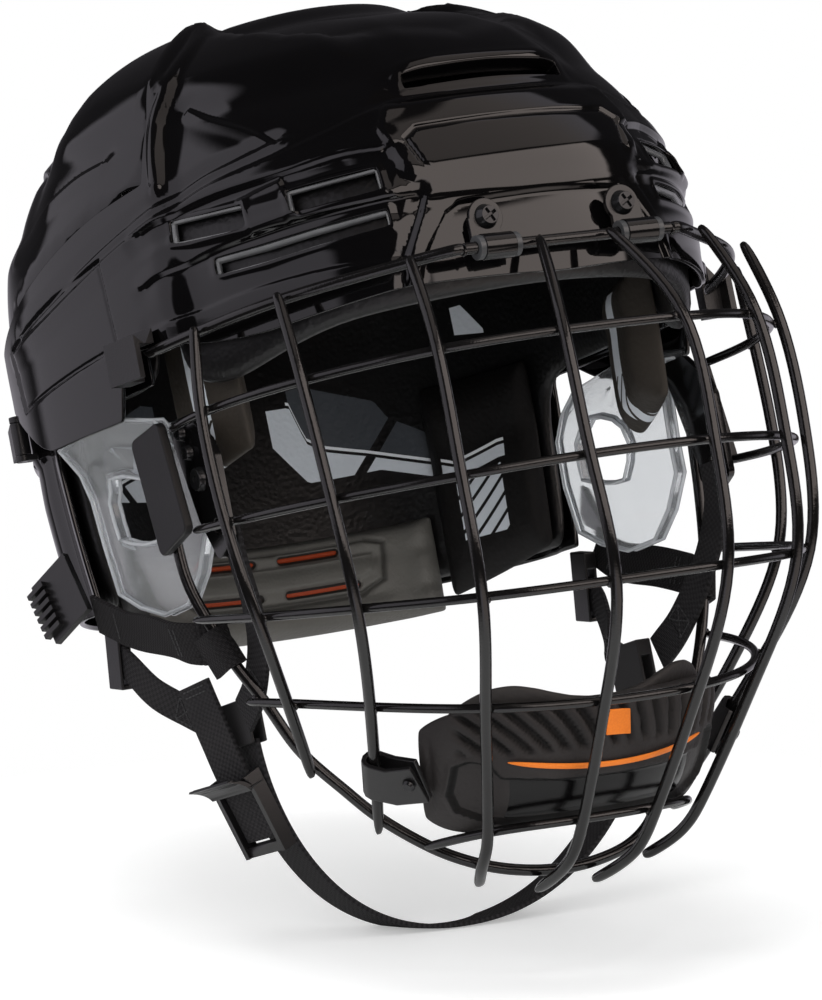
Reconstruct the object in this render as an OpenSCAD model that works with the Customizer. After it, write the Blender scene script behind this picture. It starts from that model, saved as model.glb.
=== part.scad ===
// Multi-sport helmet with a wire face cage, as worn: +Z up, the face looks along -Y.
// The origin is the centre of the head cavity at the height of the brow band. Millimetres.

/* [Shell] */
// Width of the shell over its sides
shell_width = 216; // [205:1:228]
// Distance from the cavity centre plane to the front of the shell
front_reach = 150; // [144:1:154]
// Distance from the cavity centre plane to the back of the shell
rear_reach = 126; // [118:1:134]
// Height of the crown above the brow band
crown_height = 110; // [104:1:116]
// Depth that the middle of the crown is sunk by
crown_dip = 1.8; // [0.6:0.2:2.4]
// Height of the swell at each side of the crown
crown_swell = 4.5; // [2:0.5:6]
// Height that the skirt below the brow band is measured by
skirt_height = 110; // [104:1:114]
// Wall of the moulded shells
shell_wall = 2.6; // [2:0.1:3.2]
// Space that the front shell keeps over the sliding rear shell
slide_gap = 1.0; // [0.8:0.1:1.6]
// Depth that the rear shell is drawn in beneath the side band
band_inset = 5; // [4.5:0.5:6]

/* [Lining] */
// Depth from the shell form to the inner face of the impact foam
foam_depth = 15; // [13.5:0.5:17]
// Thickness of the comfort pads at their crown
pad_thick = 9; // [6:0.5:11]
// Depth of the channels moulded in the pads
channel_depth = 2.4; // [1:0.2:3.2]

/* [Cage] */
// Diameter of the upright wires, the top wire and the border wire
main_wire = 3.8; // [3.2:0.1:4.2]
// Diameter of the cross wires
cross_wire = 3.0; // [2.4:0.1:3.4]
// Space between wires that cross
wire_gap = 0.1; // [0.05:0.05:0.3]
// Running clearance of the top wire in its sleeves
pivot_clearance = 0.05; // [0.03:0.01:0.1]
// Length of the straight middle of the top wire
pivot_length = 76; // [68:1:84]
// Outer diameter of the clip sleeves
sleeve_diameter = 8.4; // [7.6:0.2:9.2]
// Length of a clip sleeve between its rings
sleeve_length = 11; // [8:0.5:13]
// Thickness of the rings at the ends of a sleeve
ring_thick = 2; // [1.5:0.25:2.5]
// Distance between the two clip screws
screw_spacing = 50; // [46:1:54]
// Height of the clip screws
screw_height = 9; // [8:0.5:11]
// Thickness of the plates at the sides of the cage
side_plate_thick = 3.2; // [2.4:0.2:4]

/* [Straps] */
// Width of the chin webbing
webbing_width = 19; // [15:0.5:20]
// Thickness of all webbing
webbing_thick = 1.6; // [1.2:0.1:2]
// Width of the elastic straps that hold the sides of the cage
side_strap_width = 14; // [11:0.5:16]
// Drop of the chin loop below its junctions
chin_loop_drop = 73; // [66:1:80]

/* [Chin cup] */
// Thickness of the moulded cup
cup_wall = 6; // [4:0.5:8]
// Thickness of the foam on the inside of the cup
cup_pad_thick = 9; // [6:0.5:11]
// Half of the width of the chin cup
cup_half_width = 59; // [54:1:60]

/* [Hidden] */
$fn = 32;

// Seat between parts that lie on each other
seat = 0.3;
// Height of the cavity centre behind the origin, and how far the crown leans back
cavity_y = 14;
crown_shift = 10;
side_tuck = 0.10;

// The points of the cage, straps and fittings below are given for a shell 108 mm to each side and
// 150 mm to the front. placed() moves one of them with the shell's own side and front.
side_shift = shell_width / 2 - 108;
front_shift = front_reach - 150;
function placed(p) =
    [p.x + side_shift * max(-1, min(1, p.x / 90)), p.y - front_shift * ramp(-p.y, 20, 100), p.z];
function all_placed(points) = [for (p = points) placed(p)];

function lerp(a, b, t) = a + (b - a) * t;
function ramp(x, a, b) = let(t = min(1, max(0, (x - a) / (b - a)))) t * t * (3 - 2 * t);
function unit(v) = v / norm(v);
function mirror_x(points) = [for (p = points) [-p.x, p.y, p.z]];
function reversed(list) = [for (i = [len(list) - 1 : -1 : 0]) list[i]];
function both_sides(half) = concat([for (i = [len(half) - 1 : -1 : 1]) -half[i]], half);

// Point on the head form. phi runs round from the front (0) toward +X, lam climbs from the
// widest line (0) to the crown (90), and off moves the point outward.
function form(phi, lam, off = 0) =
    let(c = cos(phi), s = sin(phi), rear = (1 - c) / 2,
        half = shell_width / 2 + off,
        reach = (c > 0 ? front_reach : rear_reach) + off,
        e = c > 0 ? 2.1 : 2.2,
        r = pow(pow(abs(s) / half, e) + pow(abs(c) / reach, e), -1 / e),
        q = lerp(2.1, 2.75, rear),
        drop = lam * PI / 180,
        k = lam >= 0 ? pow(max(0, cos(lam)), 2 / q) : 1 - side_tuck * drop * drop,
        z = lam >= 0 ? (crown_height + off) * pow(sin(lam), 2 / q) : skirt_height * drop,
        y0 = cavity_y + crown_shift * sin(max(lam, 0)))
    [r * s * k, y0 - r * c * k, z];

// Closed solid between two grids of points, built on the cells that are live. ring joins
// the last column to the first, and pole closes the last row in one point.
module sheet_solid(outer, inner, live, ring = false, pole = false) {
    rows = len(outer);
    cols = len(outer[0]);
    count = rows * cols;
    cells_i = ring ? cols : cols - 1;
    function at(i, j) = (pole && j == rows - 1) ? j * cols : j * cols + (i % cols);
    function on(i, j) = j >= 0 && j < rows - 1 && (ring || (i >= 0 && i < cells_i))
        && live((i + cells_i) % cells_i, j);
    function quad(a, b, c, d) = c == d ? [[a, b, c]] : a == b ? [[a, c, d]] : [[a, b, c], [a, c, d]];
    faces = [for (i = [0 : cells_i - 1], j = [0 : rows - 2]) if (on(i, j))
        let(a = at(i, j), b = at(i + 1, j), c = at(i + 1, j + 1), d = at(i, j + 1))
        for (f = concat(
            quad(a, b, c, d),
            [for (t = quad(a, b, c, d)) reversed([for (v = t) v + count])],
            on(i, j - 1) ? [] : quad(b, a, a + count, b + count),
            on(i, j + 1) || (pole && j == rows - 2) ? [] : quad(d, c, c + count, d + count),
            on(i - 1, j) ? [] : quad(a, d, d + count, a + count),
            on(i + 1, j) ? [] : quad(c, b, b + count, c + count))) f];
    polyhedron(concat([for (r = outer) each r], [for (r = inner) each r]),
        [for (f = faces) reversed(f)], convexity = 8);
}

// Smooth path through chosen points, each run cut into n steps
function path(p, n) =
    let(last = len(p) - 1,
        dir = [for (i = [0 : last]) unit(p[min(last, i + 1)] - p[max(0, i - 1)])])
    concat([for (i = [0 : last - 1], s = [0 : n - 1])
        let(t = s / n, run = norm(p[i + 1] - p[i]),
            a = 2 * t * t * t - 3 * t * t + 1, b = t * t * t - 2 * t * t + t, c = t * t * t - t * t)
        a * p[i] + (1 - a) * p[i + 1] + b * run * dir[i] + c * run * dir[i + 1]], [p[last]]);

// Solid swept along a path. The y axis of the section keeps to the side named by up.
module sweep(p, up, section) {
    n = len(section);
    last = len(p) - 1;
    rings = [for (i = [0 : last])
        let(t = unit(p[min(last, i + 1)] - p[max(0, i - 1)]),
            v = unit(up - (up * t) * t), u = cross(v, t))
        for (s = section) p[i] + s.x * u + s.y * v];
    sides = [for (i = [0 : last - 1], k = [0 : n - 1])
        let(a = i * n + k, b = i * n + (k + 1) % n, c = b + n, d = a + n)
        each [[a, c, b], [a, d, c]]];
    polyhedron(rings, concat(sides, [[for (k = [0 : n - 1]) k]],
        [[for (k = [n - 1 : -1 : 0]) last * n + k]]), convexity = 6);
}
function round_section(d, sides = 8) =
    [for (k = [0 : sides - 1]) d / 2 * [cos(360 * k / sides), sin(360 * k / sides)]];
function flat_section(w, t) = [[t / 2, -w / 2], [t / 2, w / 2], [-t / 2, w / 2], [-t / 2, -w / 2]];
module wire(points, d, up, steps = 2) sweep(path(points, steps), up, round_section(d));
module webbing(points, w, up, steps = 3) sweep(path(points, steps), up, flat_section(w, webbing_thick));
module left_of(right = true) {
    if (right) children();
    else mirror([1, 0, 0]) children();
}

// Front shell. Its edges are angles on the head form: the brow edge, the top of the side
// band, and the seam over the crown.
function brow_edge(phi) = lookup(abs(phi), [[0, -5.5], [20, -4], [31, -5], [42, -6], [50, -5], [58, -3],
    [68, -2.5], [71.5, -13], [98, -12.5], [103, -11], [118, -2]]);
function band_top(phi) = lookup(abs(phi), [[0, 24], [58, 22.5], [71.5, 19.5], [88, 14.5], [109.5, 7.5],
    [118, 5]]);
function crown_seam(phi) = lookup(abs(phi), [[0, 82], [20, 81], [40, 77], [58, 72.5]]);
ridge_phi = 58;
band_end = 118;
front_cols = both_sides([0, 5, 9, 13, 16.5, 20.5, 24, 28.5, 33, 36.5, 40, 46.5, 53, ridge_phi, 62, 68, 71.5, 77,
    83, 88, 93.5, 98, 103, 108, 113, band_end]);
band_rows = [0, 0.18, 0.36, 0.46, 0.57, 0.72, 0.86, 1];
crown_rows = [0.06, 0.12, 0.165, 0.24, 0.34, 0.45, 0.57, 0.7, 0.85, 1];
band_count = len(band_rows);
function front_lam(phi, j) = j < band_count
    ? lerp(brow_edge(phi), band_top(phi), band_rows[j])
    : lerp(band_top(phi), crown_seam(phi), crown_rows[j - band_count]);
lap = slide_gap + shell_wall;
// Modelling shared by both shells: a swell at each side of the crown, bounded above by a
// crease, a sunk middle, and a shallow waist behind the ears
function crease(p) = lookup(p, [[0, 42], [12, 46], [ridge_phi, 71], [90, 79], [120, 84], [180, 86]]);
function relief(phi, lam) = let(p = abs(phi), above = ramp(lam, crease(p) - 4, crease(p) + 3))
    crown_swell * ramp(lam, 34, 45) * (1 - above) * ramp(p, 12, 20) * (1 - ramp(p, 88, 116))
    - crown_dip * above - 3 * ramp(p, 92, 110) * ramp(lam, 18, 27) * (1 - ramp(lam, 46, 58));
function over_rear(phi, lam) =
    lap * max(ramp(abs(phi), 50, ridge_phi - 1), ramp(lam, 66, 74)) + relief(phi, lam);
function brow_relief(phi, lam) = let(p = abs(phi))
    2.5 * (1 - ramp(p, 18, 22)) * ramp(lam, 11, 14) * (1 - ramp(lam, 26, 29))
    + 5 * (1 - ramp(p, 11, 17)) * ramp(lam, 30, 34) * (1 - ramp(lam, 46, 66))
    - 2 * (1 - ramp(p, 48, 58)) * (1 - ramp(lam, 9, 12));
function front_outer(phi, lam) = over_rear(phi, lam) + brow_relief(phi, lam);
function front_inner(phi, lam) = over_rear(phi, lam) + min(0, brow_relief(phi, lam)) - shell_wall;
// Openings in the front shell: the crown slot, two vents above the cage and a long slot below them
function is_vent(p, j) = (j == band_count + 1 && p < 13) || (j == 4 && p > 20.5 && p < 33)
    || (j == 4 && p > 40 && p < 53) || (j == 2 && p > 20.5 && p < 46.5);
module front_shell() color([0.05, 0.05, 0.06]) {
    rows = band_count + len(crown_rows);
    grid = function (off) [for (j = [0 : rows - 1]) [for (phi = front_cols)
        let(lam = front_lam(phi, j)) form(phi, lam, off(phi, lam))]];
    sheet_solid(grid(function (p, l) front_outer(p, l)), grid(function (p, l) front_inner(p, l)),
        function (i, j) let(p = abs(front_cols[i] + front_cols[i + 1]) / 2)
            (j < band_count - 1 || p < ridge_phi) && !is_vent(p, j));
}

// Rear shell. It slides back out from under the front shell, so it is drawn in below the band.
rear_front_edge = 112;
rear_cols = [0, 16, 33, 50, 54, 58, 62, 66, 74, 82, 91, 101, rear_front_edge, 116, 120, 128, 137, 147, 158,
    169, 180];
rear_rows = [-40, -32, -24, -16, -8, -2, 4, 8, 12, 16, 20, 24, 30, 40, 50, 60, 70, 77, 84, 90];
function turn(phi) = phi > 180 ? 360 - phi : phi;
function rear_outer(phi, lam) = let(p = turn(phi))
    min(-band_inset * (1 - ramp(lam - band_top(p), 0, 4)) * (1 - ramp(p, band_end - 2, band_end + 4)),
        -(lap + foam_slack / 2) * (1 - ramp(p, 54, 61)) * (1 - ramp(lam, 70, 77))) + relief(p, lam);
function rear_live(phi, lam) = let(p = turn(phi))
    lam > 76 || (p > 66 && lam > -8) || (p > 50 && lam > 24) || p > rear_front_edge;
function whole_turn(half) = concat(half, [for (i = [len(half) - 2 : -1 : 1]) 360 - half[i]]);
module rear_sheet(cols, rows, outer, inner, live) {
    grid = function (off) [for (lam = rows) [for (phi = cols) form(phi, lam, off(phi, lam))]];
    sheet_solid(grid(outer), grid(inner),
        function (i, j) let(a = cols[i], next = cols[(i + 1) % len(cols)])
            live((a + (next == 0 ? 360 : next)) / 2, (rows[j] + rows[j + 1]) / 2),
        ring = true, pole = true);
}
module rear_shell() color([0.04, 0.04, 0.05])
    rear_sheet(whole_turn(rear_cols), rear_rows, function (p, l) rear_outer(p, l),
        function (p, l) rear_outer(p, l) - shell_wall, function (p, l) rear_live(p, l));

// Impact foam, one block in each shell. The slack keeps its flatter faces clear of the shell's curve.
foam_slack = 1.2;
front_foam = foam_depth + 1;
pad_back = front_foam + 1.2;
rear_pad_back = foam_depth + 1.2;
foam_top = 48;
foam_cols = both_sides([0, 8, 16, 22, 30, 39, foam_top, 53, 58]);
foam_rows = [2, 9, 12, 21, 32, 45, 58, 67];
function foam_edge(phi) = lookup(abs(phi), [[0, -6.5], [31, -7], [42, -10], [50, -12.5], [58, -9.5]]);
module front_liner() color([0.12, 0.12, 0.13]) {
    rows = concat([-90], foam_rows);
    grid = function (off) [for (row = rows) [for (phi = foam_cols)
        let(lam = max(row, foam_edge(phi))) form(phi, lam, off(phi, lam))]];
    sheet_solid(grid(function (p, l) front_inner(p, l) - seat - foam_slack - 2.6 * ramp(l, 36, 48)),
        grid(function (p, l) -front_foam),
        function (i, j) rows[j] < 21 || abs(foam_cols[i] + foam_cols[i + 1]) / 2 < foam_top);
}
module rear_liner() color([0.12, 0.12, 0.13])
    rear_sheet(whole_turn([0, 29, 58, 66, 80, 94, rear_front_edge, 116, 122, 131, 140, 150, 160, 170, 180]),
        [-40, -24, -8, 4, 14, 24, 36, 48, 60, 77, 90],
        function (p, l) rear_outer(p, l) - shell_wall - seat - foam_slack - 2.2 * ramp(l, 10, 30),
        function (p, l) -foam_depth,
        function (p, l) (turn(p) > 58 || l > 76) && rear_live(p, l));

// Comfort pad on the foam: a patch of the head form with a crowned face, drawn-in edges and
// channels that run along it (rows) and across it (cols). Both lists hold places from -1 to 1.
module pad(phis, lams, thick, across = [], along = [], nu = 12, nv = 8, back = pad_back) {
    groove = function (x, list)
        len(list) == 0 ? 0 : max([for (c = list) 1 - ramp(abs(x - c), 0.02, 0.14)]);
    face = function (a, b) let(edge = (1 - pow(abs(a), 8)) * (1 - pow(abs(b), 8)))
        lerp(0.35, 1, sqrt(max(0, edge))) * thick
        - channel_depth * max(groove(a, across), groove(b, along));
    us = [for (i = [0 : nu]) sin(-90 + 180 * i / nu) * 0.35 + (-1 + 2 * i / nu) * 0.65];
    vs = [for (j = [0 : nv]) sin(-90 + 180 * j / nv) * 0.35 + (-1 + 2 * j / nv) * 0.65];
    grid = function (off) [for (b = vs) [for (a = us)
        let(t = (b + 1) / 2, phi = lerp(phis[0], phis[1], (a + 1) / 2),
            lam = is_list(lams[0]) ? lerp(lerp(lams[0][0], lams[0][1], (a + 1) / 2),
                lerp(lams[1][0], lams[1][1], (a + 1) / 2), t) : lerp(lams[0], lams[1], t))
        form(phi, lam, -back - off(a, b))]];
    sheet_solid(grid(function (a, b) 0), grid(face), function (i, j) true);
}
module brow_pad() color([0.10, 0.10, 0.12])
    pad([-36, 36], [-3, 15], pad_thick, across = [-0.34, 0.34], nu = 18);
module crown_pad() color([0.10, 0.10, 0.12])
    pad([-44, 44], [34, 64], pad_thick, across = [0], nu = 12);
module temple_pad(right) color([0.09, 0.09, 0.11]) left_of(right)
    pad([-69, -50], [[-26, -22], [1, 2]], pad_thick + 2, along = [0.2], nu = 10, back = pad_back - 0.4);
module temple_pad_right() temple_pad(true);
module temple_pad_left() temple_pad(false);
module rear_side_pad(right) color([0.09, 0.09, 0.11]) left_of(right)
    pad([-141, -113.5], [[-44, -39], [-4, -4]], pad_thick, along = [0.3], nu = 10, back = rear_pad_back);
module rear_side_pad_right() rear_side_pad(true);
module rear_side_pad_left() rear_side_pad(false);
module occipital_pad() color([0.36, 0.36, 0.33])
    pad([143, 217], [-46, -28], pad_thick + 4, across = [-0.8, 0.8], along = [-0.35, 0.35],
        nu = 30, nv = 12, back = rear_pad_back);

// Clear ear guard with a six-sided ear hole. Corners are [y, z], hole corners match rim corners.
guard_thick = 3;
guard_rim = [[42, -22], [45, -40], [44, -56], [40, -73], [26, -80], [9, -85.5], [-10, -85], [-22, -77],
    [-31.5, -66], [-31, -44], [-26, -26], [8, -17.5]];
guard_hole = [[25, -36], [32, -43], [32, -50], [31, -56], [22, -59], [12, -61], [3, -61.5], [-2, -56],
    [-4, -50], [-1, -44], [5, -40], [15, -37]];
function guard_x(z) = lookup(z, [[-90, 90.5], [-55, 91], [-40, 92], [-30, 95.5], [-22, 102], [-17, 107]])
    + side_shift;
module ear_guard(right) color([0.85, 0.87, 0.9, 0.5]) left_of(right) {
    spread = [0, 0.12, 0.5, 0.85, 1];
    ribs = [1.6, 0, 0, 0, 1.2];
    n = len(guard_rim);
    grid = function (inset) [for (j = [0 : len(spread) - 1]) [for (i = [0 : 2 * n - 1])
        let(k = floor(i / 2), next = (k + 1) % n, half = (i % 2) / 2,
            p = lerp(lerp(guard_hole[k], guard_hole[next], half),
                lerp(guard_rim[k], guard_rim[next], half), spread[j]))
        [-guard_x(p.y) - ribs[j] * (inset > 0 ? 0 : 0.4) + inset, p.x, p.y]]];
    sheet_solid(grid(guard_thick), grid(0), function (i, j) true, ring = true);
}
module ear_guard_right() ear_guard(true);
module ear_guard_left() ear_guard(false);

// Bracket inside the ear guard that carries the front webbing
bracket_thick = 2.4;
bracket_x = -95.2 - side_shift;
temple_screw_height = 2.2;
module temple_bracket(right) color([0.07, 0.07, 0.08]) left_of(right)
    difference() {
        translate([bracket_x, 0, 0]) rotate([90, 0, 90]) linear_extrude(bracket_thick)
            offset(3) offset(-3) polygon([[-27, -28], [-42, -28], [-54, -38], [-57, -44], [-57, -72],
                [-46, -77], [-37, -62], [-31, -42]]);
        translate([bracket_x - 1, -49, -66]) rotate([0, 90, 0]) cylinder(d = 5, h = bracket_thick + 2);
    }
module temple_bracket_right() temple_bracket(true);
module temple_bracket_left() temple_bracket(false);
module temple_screws(right) color([0.16, 0.16, 0.17]) left_of(right)
    for (s = [[-37, -33, 5.5], [-40, -40, 5.5], [-44, -49.5, 8.5]])
        translate([bracket_x - seat / 3 - temple_screw_height, s[0], s[1]]) rotate([0, 90, 0]) difference() {
            cylinder(d1 = s[2] - 1.5, d2 = s[2], h = temple_screw_height);
            translate([0, 0, -1]) cylinder(d = 2.4, h = 2);
        }
module temple_screws_right() temple_screws(true);
module temple_screws_left() temple_screws(false);

// Clip at each temple that the end of the top wire rests in, open below
clip_turn = 13;
clip_size = [8, 16, 16];
clip_bore = 5.2;
module j_clip(right) color([0.08, 0.08, 0.09]) left_of(right)
    translate([-shell_width / 2 + 1.2, -41, -15.5]) rotate([0, 0, clip_turn]) difference() {
        translate([-clip_size.x, -clip_size.y / 2, 0]) cube(clip_size);
        translate([-clip_bore - 0.8, -clip_size.y / 2 - 1, -1]) cube([clip_bore + 2, 9, clip_size.z - 4]);
        translate([-clip_size.x - 3, -20, clip_size.z]) rotate([0, 35, 0]) cube([9, 40, 9]);
    }
module j_clip_right() j_clip(true);
module j_clip_left() j_clip(false);

// Top of the cage: the wire turns in two sleeves screwed to the brow
pivot_y = -139 - front_shift;
pivot_z = -1.5;
sleeve_x = screw_spacing / 2 + 1;
tab_back = -132.6 - front_shift;
tab_thick = 1.8;
ring_diameter = sleeve_diameter - 0.6;
screw_head = 8.2;
module along_x(x0, length, d)
    translate([x0, pivot_y, pivot_z]) rotate([0, 90, 0]) cylinder(d = d, h = length);
module cage_top_bar() color([0.04, 0.04, 0.04]) along_x(-pivot_length / 2, pivot_length, main_wire);
module top_clip(right) color([0.06, 0.06, 0.07]) left_of(right) {
    difference() {
        union() {
            along_x(-sleeve_x - sleeve_length / 2, sleeve_length, sleeve_diameter);
            translate([-sleeve_x - sleeve_length / 2, tab_back - tab_thick, pivot_z])
                cube([sleeve_length, tab_thick, screw_height - pivot_z]);
            translate([-sleeve_x - sleeve_length / 2, pivot_y, pivot_z])
                cube([sleeve_length, tab_back - pivot_y, tab_thick]);
            translate([-screw_spacing / 2, tab_back, screw_height]) rotate([90, 0, 0])
                cylinder(d = sleeve_length + 1, h = tab_thick);
        }
        along_x(-sleeve_x - sleeve_length, 2 * sleeve_length, main_wire + 2 * pivot_clearance);
        translate([-screw_spacing / 2, tab_back + 1, screw_height]) rotate([90, 0, 0])
            cylinder(d = 4.6, h = tab_thick + 2);
    }
}
module top_clip_right() top_clip(true);
module top_clip_left() top_clip(false);
module clip_rings() color([0.33, 0.33, 0.35])
    for (side = [-1, 1], end = [-1, 1])
        difference() {
            centre = side * sleeve_x + end * (sleeve_length + ring_thick) / 2;
            along_x(centre - ring_thick / 2, ring_thick, ring_diameter);
            along_x(centre - ring_thick, 2 * ring_thick, main_wire + 2 * pivot_clearance);
        }
module clip_screws() color([0.25, 0.25, 0.26])
    for (side = [-1, 1])
        translate([side * screw_spacing / 2, tab_back - tab_thick, screw_height])
            rotate([90, 0, 0]) difference() {
            union() {
                cylinder(d1 = screw_head, d2 = screw_head - 2.4, h = 3);
                translate([0, 0, -tab_thick - 5]) cylinder(d = 4.4, h = tab_thick + 5);
            }
            for (turned = [0, 90])
                rotate([0, 0, turned + 30]) translate([-2.4, -0.5, 1.6]) cube([4.8, 1, 2]);
        }

// Levers behind the ears that lock the sliding rear shell, turning on upright pins
lock_seat = form(-120.5, -6.2);
lock_pin = [lock_seat.x - 3.34, lock_seat.y, -12];
lock_height = 11;
lock_barrel = 5.6;
lock_lever = 17;
pin_diameter = 2.5;
ear_thick = 2;
module size_lock(right) color([0.08, 0.08, 0.09]) left_of(right)
    translate(lock_pin - [0, 0, lock_height / 2]) difference() {
        union() {
            cylinder(d = lock_barrel, h = lock_height);
            rotate([0, 0, -21]) translate([-lock_barrel / 2, 0, 0]) cube([2.4, lock_lever, lock_height]);
        }
        translate([0, 0, -1]) cylinder(d = pin_diameter + 2 * pivot_clearance, h = lock_height + 2);
    }
module size_lock_right() size_lock(true);
module size_lock_left() size_lock(false);
lock_stack = lock_height + 2 * seat + 2 * ear_thick;
module size_lock_pins() color([0.5, 0.5, 0.52])
    for (right = [true, false]) left_of(right)
        translate(lock_pin) cylinder(d = pin_diameter, h = lock_stack, center = true);
module size_lock_ears() color([0.06, 0.06, 0.07])
    for (right = [true, false], end = [-1, 1]) left_of(right)
        translate(lock_pin + [0, 0, end * (lock_stack - ear_thick) / 2]) difference() {
            union() {
                cylinder(d = lock_barrel, h = ear_thick, center = true);
                translate([0, -lock_barrel / 2, -ear_thick / 2])
                    cube([lock_barrel / 2 + 1, lock_barrel, ear_thick]);
            }
            cylinder(d = pin_diameter, h = ear_thick + 2, center = true);
        }

// Cage wires of the right side, from the top wire down; the left side mirrors them
wire_top = [-12.4, -139 - main_wire - wire_gap, pivot_z + 1.5];
upright_1 = [[-101.6, -72.4, -4.5], [-104.1, -70.2, -31.4], [-103.5, -71.5, -68.1], [-98, -70.9, -100.5],
    [-85.2, -55.6, -128.4], [-73.6, -39.6, -149.6]];
upright_2 = [[-86.5, -103, -2], [-89, -113.1, -31.6], [-87.8, -115.5, -70.9], [-84.1, -111.7, -106.8],
    [-73.4, -86.9, -136.3], [-57.4, -46.5, -171.6]];
upright_3 = [[-53.5, -131.7, -0.2], [-58.4, -147.6, -32], [-59.2, -148, -72.9], [-57.8, -144.5, -112],
    [-50.2, -117.5, -144.8], [-39.5, -84.7, -181], [-36.8, -72, -188.6], [-31, -57.5, -193]];
upright_4 = [wire_top, [-22.3, -163.7, -32.7], [-22.6, -164.5, -73.4], [-20.3, -163, -114.3],
    [-17.1, -133.5, -149.4], [-13.4, -99.2, -182.7], [-12.5, -84, -193], [-10.6, -57.5, -198]];
uprights = [for (w = [upright_1, upright_2, upright_3, upright_4]) all_placed(w)];
module cage_wires(right) color([0.04, 0.04, 0.04]) left_of(right)
    for (w = uprights) wire(w, main_wire, [1, 0, 0]);
module cage_wires_right() cage_wires(true);
module cage_wires_left() cage_wires(false);

// A cross wire lies just inside the uprights at the level named by row
crossing = (main_wire + cross_wire) / 2 + wire_gap;
function inward(w, row) = let(p = w[row], t = unit(w[row + 1] - w[row - 1]), n = unit([-p.x, -20 - p.y, 0]))
    p + crossing * unit(n - (n * t) * t);
function cross_points(row, end, first = 0) =
    let(half = concat([placed(end)], [for (k = [first : 3]) inward(uprights[k], row)]))
    concat(half, reversed(mirror_x(half)));
cross_ends = [[-100, -38, -31.6], [-99.8, -41, -65.5], [-98.7, -26, -92.4], [-87.5, -30.4, -121.5]];
module cross(row, first = 0, end = undef) color([0.04, 0.04, 0.04])
    wire(cross_points(row, is_undef(end) ? cross_ends[row - 1] : end, first), cross_wire, [0, 0, 1]);
module cage_cross_upper() for (row = [1, 2]) cross(row);
module cage_cross_lower() {
    for (row = [3, 4]) cross(row);
    cross(5, first = 2, end = [-46.5, -54.5, -178.4]);
}

// Border wire round the lower edge of the cage, and the arms that carry the top wire back
border_half = [[-99.3, -32, -34], [-99.3, -28, -50], [-99.2, -26.2, -67], [-98, -26, -80], [-95.3, -28, -91],
    [-92.3, -29.7, -100], [-88.8, -31.4, -110], [-82.2, -34.9, -124], [-74.8, -35.7, -140], [-63.5, -40, -155],
    [-55.7, -43, -165], [-45.9, -48.3, -175], [-36.7, -54.7, -183], [-21.9, -60.4, -190], [0, -61.5, -193]];
module cage_border() color([0.04, 0.04, 0.04])
    let(half = all_placed(border_half))
    wire(concat(half, reversed(mirror_x([for (i = [0 : len(half) - 2]) half[i]]))), main_wire, [0, 1, 0]);
arm = concat([[-pivot_length / 2 - 0.35, pivot_y, pivot_z], [-pivot_length / 2 - 3, pivot_y, pivot_z]],
    all_placed([[-53, -127.5, -1.9], [-82, -101, -3.8], [-96.5, -74, -5.7], [-106.4, -43.5, -7.4]]));
module cage_top_arms() color([0.04, 0.04, 0.04])
    for (right = [true, false]) left_of(right) wire(arm, main_wire, [0, 0, 1]);

// Plates that close the sides of the cage
plate_x = 101.6 + side_shift;
module side_plate(right) color([0.06, 0.06, 0.07]) left_of(right)
    translate([-plate_x - side_plate_thick, 0, 0]) rotate([90, 0, 90]) linear_extrude(side_plate_thick)
        offset(3) offset(-3) polygon([[-17, -31], [-39, -28.5], [-46, -66], [-24, -71]]);
module side_plate_right() side_plate(true);
module side_plate_left() side_plate(false);

// A flat piece folds round a wire: back and out are the two directions square to the wire
function fold(centre, back, out, r, leg) = concat([centre + leg * back - r * out],
    [for (t = [-90 : 30 : 90]) centre + r * (sin(t) * out - cos(t) * back)]);

// Elastic straps from the border wire back to the grip tabs
strap_up = [-0.31, 0.17, 0.94];
strap_wire = placed([-91.3, -30.2, -103]);
strap_back = unit([0, 1, 0] - strap_up.y * strap_up);
strap_out = cross(strap_back, unit(strap_up));
strap_fold = main_wire / 2 + webbing_thick / 2 + 0.4;
strap_route = concat(fold(strap_wire, strap_back, strap_out, strap_fold, 9),
    all_placed([[-95.4, -12, -98], [-95.6, 4, -93], [-95.6, 28, -86.5], [-98, 46.5, -77.5]]));
module side_strap(right) color([0.05, 0.05, 0.05]) left_of(right)
    webbing(strap_route, side_strap_width, strap_up);
module side_strap_right() side_strap(true);
module side_strap_left() side_strap(false);
tab_ribs = 6;
tab_centre = [-105.7 - side_shift, 54.5, -70];
tab_size = [2.4, 19, 24];
rib_pitch = 3.3;
module grip_tab(right) color([0.10, 0.10, 0.11]) left_of(right)
    translate(tab_centre) rotate([-28, 0, 0]) rotate([0, 0, 20]) {
        cube(tab_size, center = true);
        for (k = [0 : tab_ribs - 1])
            translate([-3.4, 2.5, (k - (tab_ribs - 1) / 2) * rib_pitch - 0.9]) cube([2.4, 8.5, 1.8]);
    }
module grip_tab_right() grip_tab(true);
module grip_tab_left() grip_tab(false);

// Chin cup, an arc of moulded plastic and foam behind the cage. a runs from -1 to 1 across it,
// b from 0 at the bottom to 1 at the top, and depth is measured in toward the chin.
function cup(a, b, depth) =
    let(top = placed([cup_half_width * a, -116 + 29 * a * a, -145 + 7 * a * a]),
        low = placed([0.88 * cup_half_width * a, -90.5 + 26 * a * a, -181.5 + 4 * a * a]),
        swell = 4 * sin(180 * min(b, 1)) * (1 - pow(a, 4)))
    lerp(low, top, b) + (depth - swell) * unit([-0.75 * a, 0.72, 0.3]);
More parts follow.
